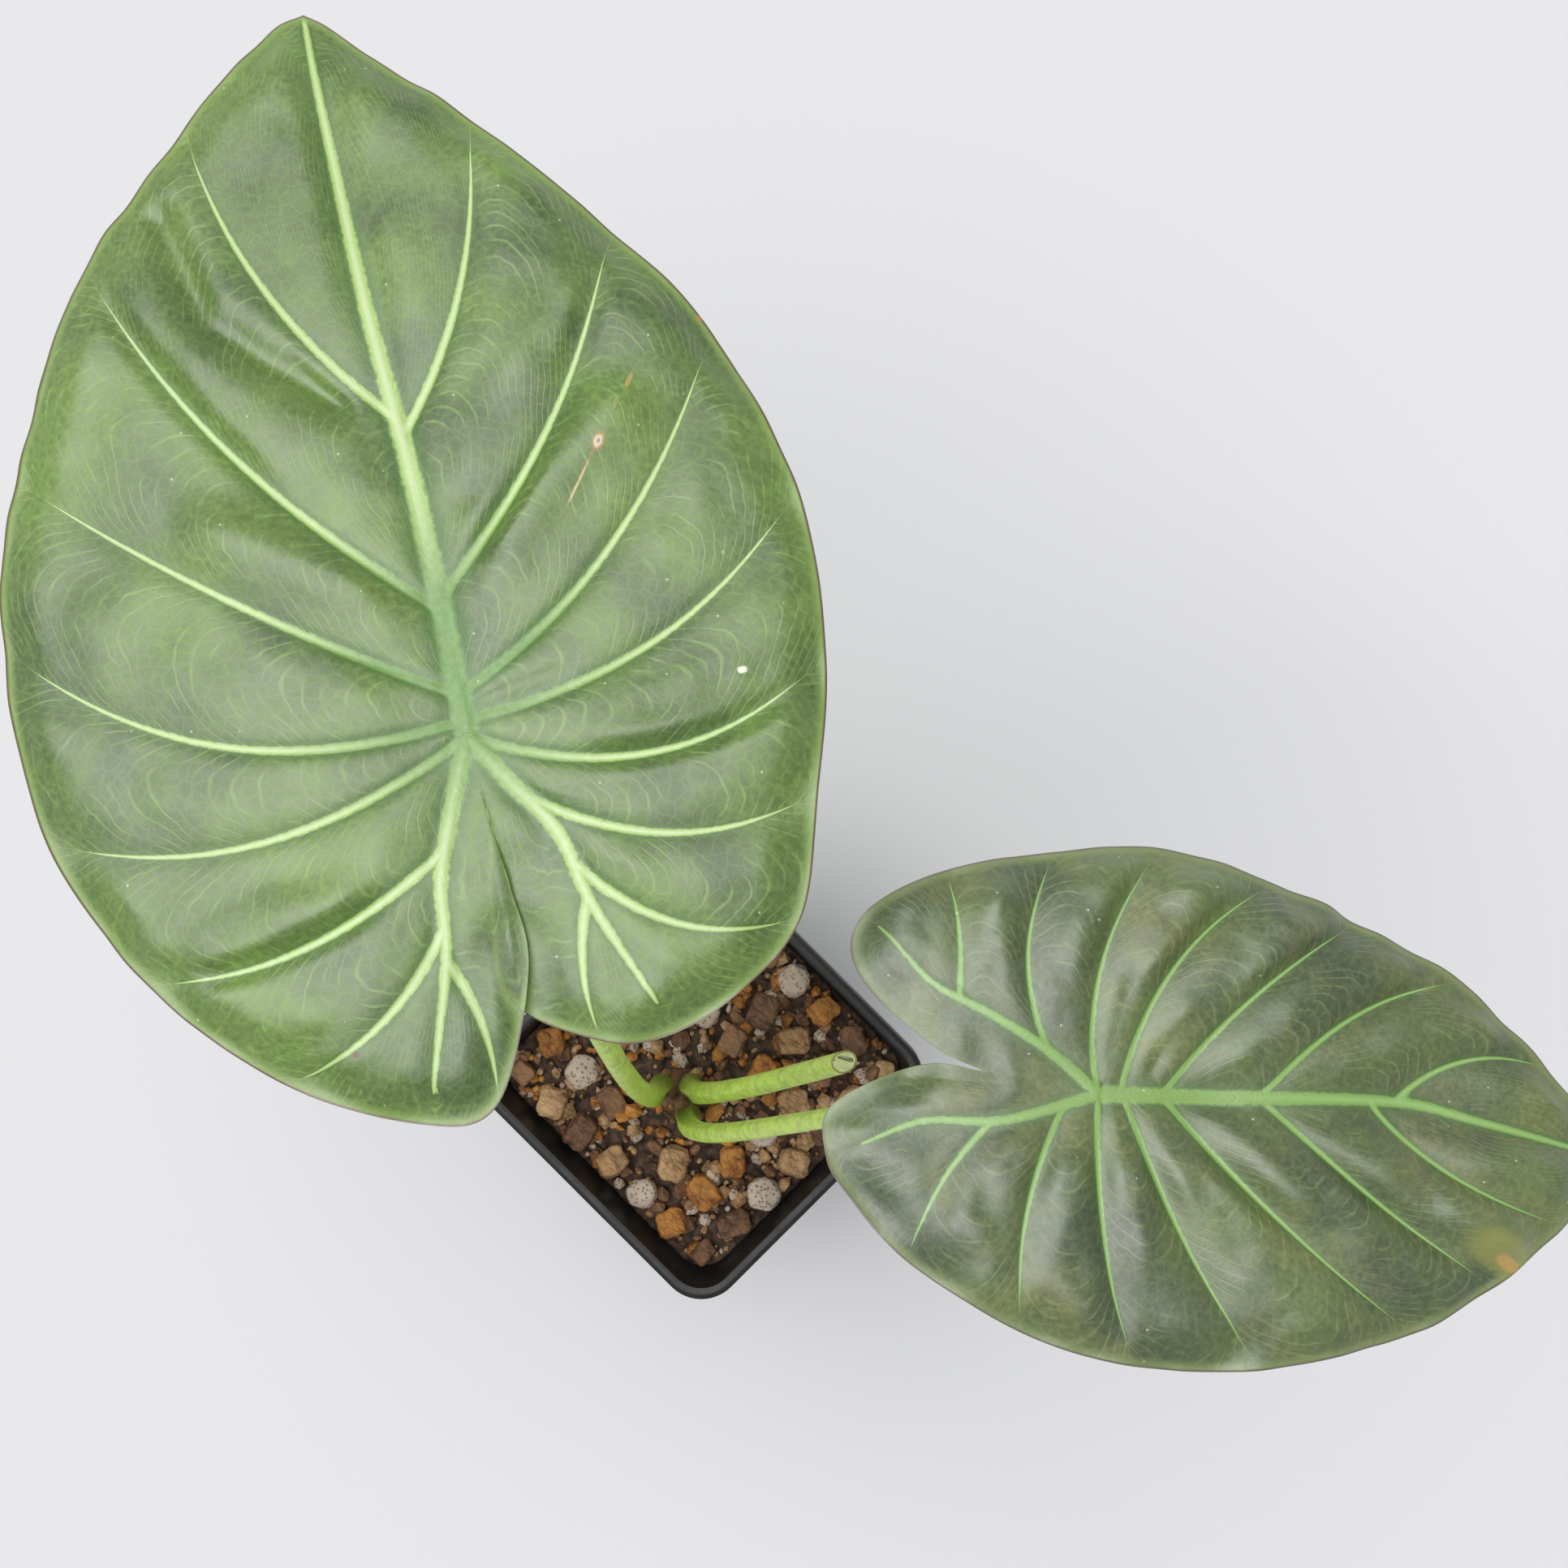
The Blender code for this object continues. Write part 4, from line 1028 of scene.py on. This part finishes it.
def makePotPlastic():
    # recycled black polypropylene: satin, a little grey, with scuffs and dust of potting mix
    material, tree, shader, coords = newMaterial("thermoformedBlackPolypropylene", Roughness=0.42,
                                                 IOR=1.49)
    dust = noiseOf(tree, coords, 60.0, 6.0, Roughness=0.65)
    dusty = remap(tree, dust, 0.5, 0.75, 0.0, 0.45)
    colour = blend(tree, dusty, pot["plastic"], pot["dust"])
    scratch = addNode(tree, "Mapping", Vector=coords, Scale=(900.0, 900.0, 60.0),
                      Rotation=(0.2, 0.1, 0))
    scratch = noiseOf(tree, scratch, 1.0, 2.0)
    scuff = remap(tree, scratch, 0.62, 0.75, 0.0, 0.25)
    colour = blend(tree, scuff, colour, pot["scuff"])
    gloss = remap(tree, dust, 0.35, 0.7, 0.36, 0.6)
    plug(tree, gloss, shader, "Roughness")
    skin = noiseOf(tree, coords, 1400.0, 2.0)  # 0.7 mm moulding grain
    finishLook(tree, shader, colour, skin, 0.25, 0.00008)
    return material


makePot([makePotPlastic()])
print("pot done")


# Potting mix: bark, pumice and fines. One block with a crumbly top, loose crumbs over it, and the
# larger chips where the CAD has them.

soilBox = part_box("substrate")
mix = {"top": soilBox[1].z / mm, "low": soilBox[0].z / mm,
       "half": (soilBox[1].x - soilBox[0].x) / 2 / mm,
       "cells": 96, "roughTop": 1.1, "taper": 0.76, "crumbs": 1300, "seed": 5,
       "crumbSizes": ((0.7, 1.5), (1.5, 2.6), (2.6, 3.7)), "sizeShares": (14, 5, 2),
       "kindShares": (5, 3, 2, 2)}


def insideWalls(x, y, margin):
    # room left to the rounded square wall at the top of the mix, in mm
    half, arc = mix["half"], pot["corner"] - pot["wall"]
    cornerX, cornerY = abs(x) - half + arc, abs(y) - half + arc
    if min(cornerX, cornerY) > 0:
        return arc - math.hypot(cornerX, cornerY) - margin
    return half - max(abs(x), abs(y)) - margin


def makeMix(materials):
    bm = bmesh.new()
    bmesh.ops.create_grid(bm, x_segments=mix["cells"], y_segments=mix["cells"], size=mix["half"])
    arc = pot["corner"] - pot["wall"]
    for vert in bm.verts:
        x, y = vert.co.x, vert.co.y
        over = -insideWalls(x, y, 0.0)
        if over > 0:  # round the corners off
            corner = Vector((abs(x) - mix["half"] + arc, abs(y) - mix["half"] + arc))
            corner *= arc / corner.length
            x = math.copysign(mix["half"] - arc + corner.x, x)
            y = math.copysign(mix["half"] - arc + corner.y, y)
        lump = noise.noise(Vector((x / 3, y / 3, 2.2)))
        lump += 0.6 * noise.noise(Vector((x / 1.3, y / 1.3, 6.2)))
        vert.co = Vector((x, y, mix["top"] + mix["roughTop"] * (lump - 0.25)))
    bmesh.ops.remove_doubles(bm, verts=bm.verts, dist=0.15)
    grown = bmesh.ops.extrude_edge_only(bm, edges=boundaryOf(bm))["geom"]
    for vert in (v for v in grown if isinstance(v, bmesh.types.BMVert)):
        vert.co = Vector((vert.co.x * mix["taper"], vert.co.y * mix["taper"], mix["low"]))
    bmesh.ops.holes_fill(bm, edges=boundaryOf(bm))
    bmesh.ops.recalc_face_normals(bm, faces=bm.faces)
    bmesh.ops.scale(bm, verts=bm.verts, vec=(mm, mm, mm))
    finishPiece("pottingMix", bm, materials, ["substrate"])


def makeCrumbs(materials):
    source = random.Random(mix["seed"])
    bm = bmesh.new()
    for number in range(mix["crumbs"]):
        x, y = (source.uniform(-mix["half"], mix["half"]) for i in range(2))
        size = source.uniform(*source.choices(mix["crumbSizes"], mix["sizeShares"])[0])
        kind = source.choices(range(4), mix["kindShares"])[0]
        turn = [source.uniform(0, math.tau) for i in range(3)]
        stretch = [source.uniform(0.6, 1.2) for i in range(3)]
        if insideWalls(x, y, size) < 0:
            continue
        lump = bmesh.ops.create_icosphere(bm, subdivisions=1, radius=1.0)
        for vert in lump["verts"]:
            vert.co *= source.uniform(0.75, 1.1)
            vert.co = Vector(c * k * size for c, k in zip(vert.co, stretch))
            vert.co.rotate(Matrix.Rotation(turn[0], 3, "X") @ Matrix.Rotation(turn[1], 3, "Z"))
            vert.co += Vector((x, y, mix["top"] + size * 0.35))
        for face in {f for v in lump["verts"] for f in v.link_faces}:
            face.material_index = kind
    bmesh.ops.scale(bm, verts=bm.verts, vec=(mm, mm, mm))
    finishPiece("looseCrumbs", bm, materials, None, smooth=False)


chipShape = {"round": 0.55, "longEdge": 1.6, "grow": 1.08, "grain": (9, 2.2, 1.2)}


def makeChip(name, node, material, slot, rough, seed):
    # a chip's plain solid, rounded, cut finer and weathered along its layers
    bm = bmesh.new()
    bm.from_mesh(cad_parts[node].data)
    bmesh.ops.remove_doubles(bm, verts=bm.verts, dist=0.00001)
    bmesh.ops.dissolve_limit(bm, angle_limit=math.radians(3), verts=bm.verts, edges=bm.edges)
    roundEdges(bm, bm.edges[:], chipShape["round"], 2, clamp=True)
    bmesh.ops.triangulate(bm, faces=[f for f in bm.faces if len(f.verts) > 4])
    longEdges = [e for e in bm.edges if e.calc_length() > chipShape["longEdge"] * mm]
    bmesh.ops.subdivide_edges(bm, edges=longEdges, cuts=2, use_grid_fill=True)
    bmesh.ops.triangulate(bm, faces=bm.faces)
    bmesh.ops.remove_doubles(bm, verts=bm.verts, dist=0.00005)
    middle = sum((v.co for v in bm.verts), Vector()) / len(bm.verts)
    turn = Matrix.Rotation(seed * 1.3, 3, "Z")
    bm.normal_update()
    moves = []
    for vert in bm.verts:
        spot = turn @ (vert.co / mm)
        grain = Vector(c / size for c, size in zip(spot, chipShape["grain"]))
        layers = noise.noise(grain + Vector((0, 0, seed)))
        pits = noise.noise(spot / 2.1 + Vector((seed, 0, 0)))
        moves.append(vert.normal * mm * rough * (0.7 * layers + 0.5 * pits))
    for vert, move in zip(bm.verts, moves):
        vert.co += move
        vert.co = middle + (vert.co - middle) * chipShape["grow"]
    bmesh.ops.recalc_face_normals(bm, faces=bm.faces)
    piece = finishPiece(name, bm, [material], [node])
    piece.data.set_sharp_from_angle(angle=math.radians(45))


def makeBark(name, light, middle, dark, scale):
    # composted pine bark: flaky layers, dull, dark in the cracks
    material, tree, shader, coords = newMaterial(name, Roughness=0.8)
    grain = addNode(tree, "Mapping", Vector=coords, Scale=(1.0, 2.4, 1.6), Rotation=(0.3, 0.2, 0.7))
    flakes = noiseOf(tree, grain, scale, 5.0, Distortion=0.8)
    patch = noiseOf(tree, coords, 70.0, 2.0)
    tones = remap(tree, flakes, 0.32, 0.6)
    colour = blend(tree, tones, dark, middle)
    tones = remap(tree, patch, 0.42, 0.66, 0.0, 0.9)
    colour = blend(tree, tones, colour, light)
    cracks = addNode(tree, "TexVoronoi", {"feature": "DISTANCE_TO_EDGE"}, Vector=grain,
                     Scale=scale * 0.8)
    cracks = remap(tree, cracks, 0.0, 0.07, 0.55, 1.0)
    colour = blend(tree, 1.0, colour, cracks, "MULTIPLY")
    finishLook(tree, shader, colour, flakes, 0.7, 0.0005)
    return material


pumiceLook = {"shade": "#a58f7c", "light": "#cdbfae", "pore": "#7c6857"}


def makePumice():
    # pumice: pale, warm with dust, full of small dark pores
    material, tree, shader, coords = newMaterial("washedPumice", Roughness=0.9)
    pores = addNode(tree, "TexVoronoi", {"feature": "F1"}, Vector=coords, Scale=900.0)
    hole = remap(tree, pores.outputs["Distance"], 0.15, 0.45)
    dust = noiseOf(tree, coords, 180.0, 4.0)
    colour = blend(tree, dust, pumiceLook["shade"], pumiceLook["light"])
    colour = blend(tree, hole, pumiceLook["pore"], colour)
    finishLook(tree, shader, colour, hole, 0.7, 0.0003)
    return material


barkBrown = makeBark("compostedBarkBrown", "#9a7350", "#75523a", "#3a281b", 320.0)
barkTan = makeBark("compostedBarkTan", "#c9a67a", "#ae865a", "#6b4c32", 300.0)
barkAmber = makeBark("compostedBarkAmber", "#cc8f42", "#a86d2e", "#5c3618", 300.0)
pumice = makePumice()
fines = makeGrainy("peatAndBarkFines", "#5a4636", "#231812", 0.95, 380.0, 0.0012, 6.0)
makeMix([fines])
makeCrumbs([barkBrown, barkTan, barkAmber, pumice])
# start of the node's name, the piece's name, finish, slot and roughness in mm
chipKinds = (
    ("bark_chip_amber_", "barkAmber", barkAmber, "bark_amber", 1.0),
    ("bark_chip_tan_", "barkTan", barkTan, "bark_tan", 1.0),
    ("bark_chip_", "barkBrown", barkBrown, "bark_brown", 1.0),
    ("pumice_", "pumice", pumice, "pumice", 0.6),
)
for number, node in enumerate(sorted(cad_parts)):
    kind = next((k for k in chipKinds if node.startswith(k[0])), None)
    if kind:
        makeChip(kind[1] + node[-2:], node, *kind[2:], number)
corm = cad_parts["corm"]
cormSkin = makeGrainy("cormFibrousSkin", "#8a6a45", "#3f2b1a", 0.85, 260.0, 0.0010, 5.0)
corm.data.materials.clear()
corm.data.materials.append(cormSkin)
print("potting mix and chips done")
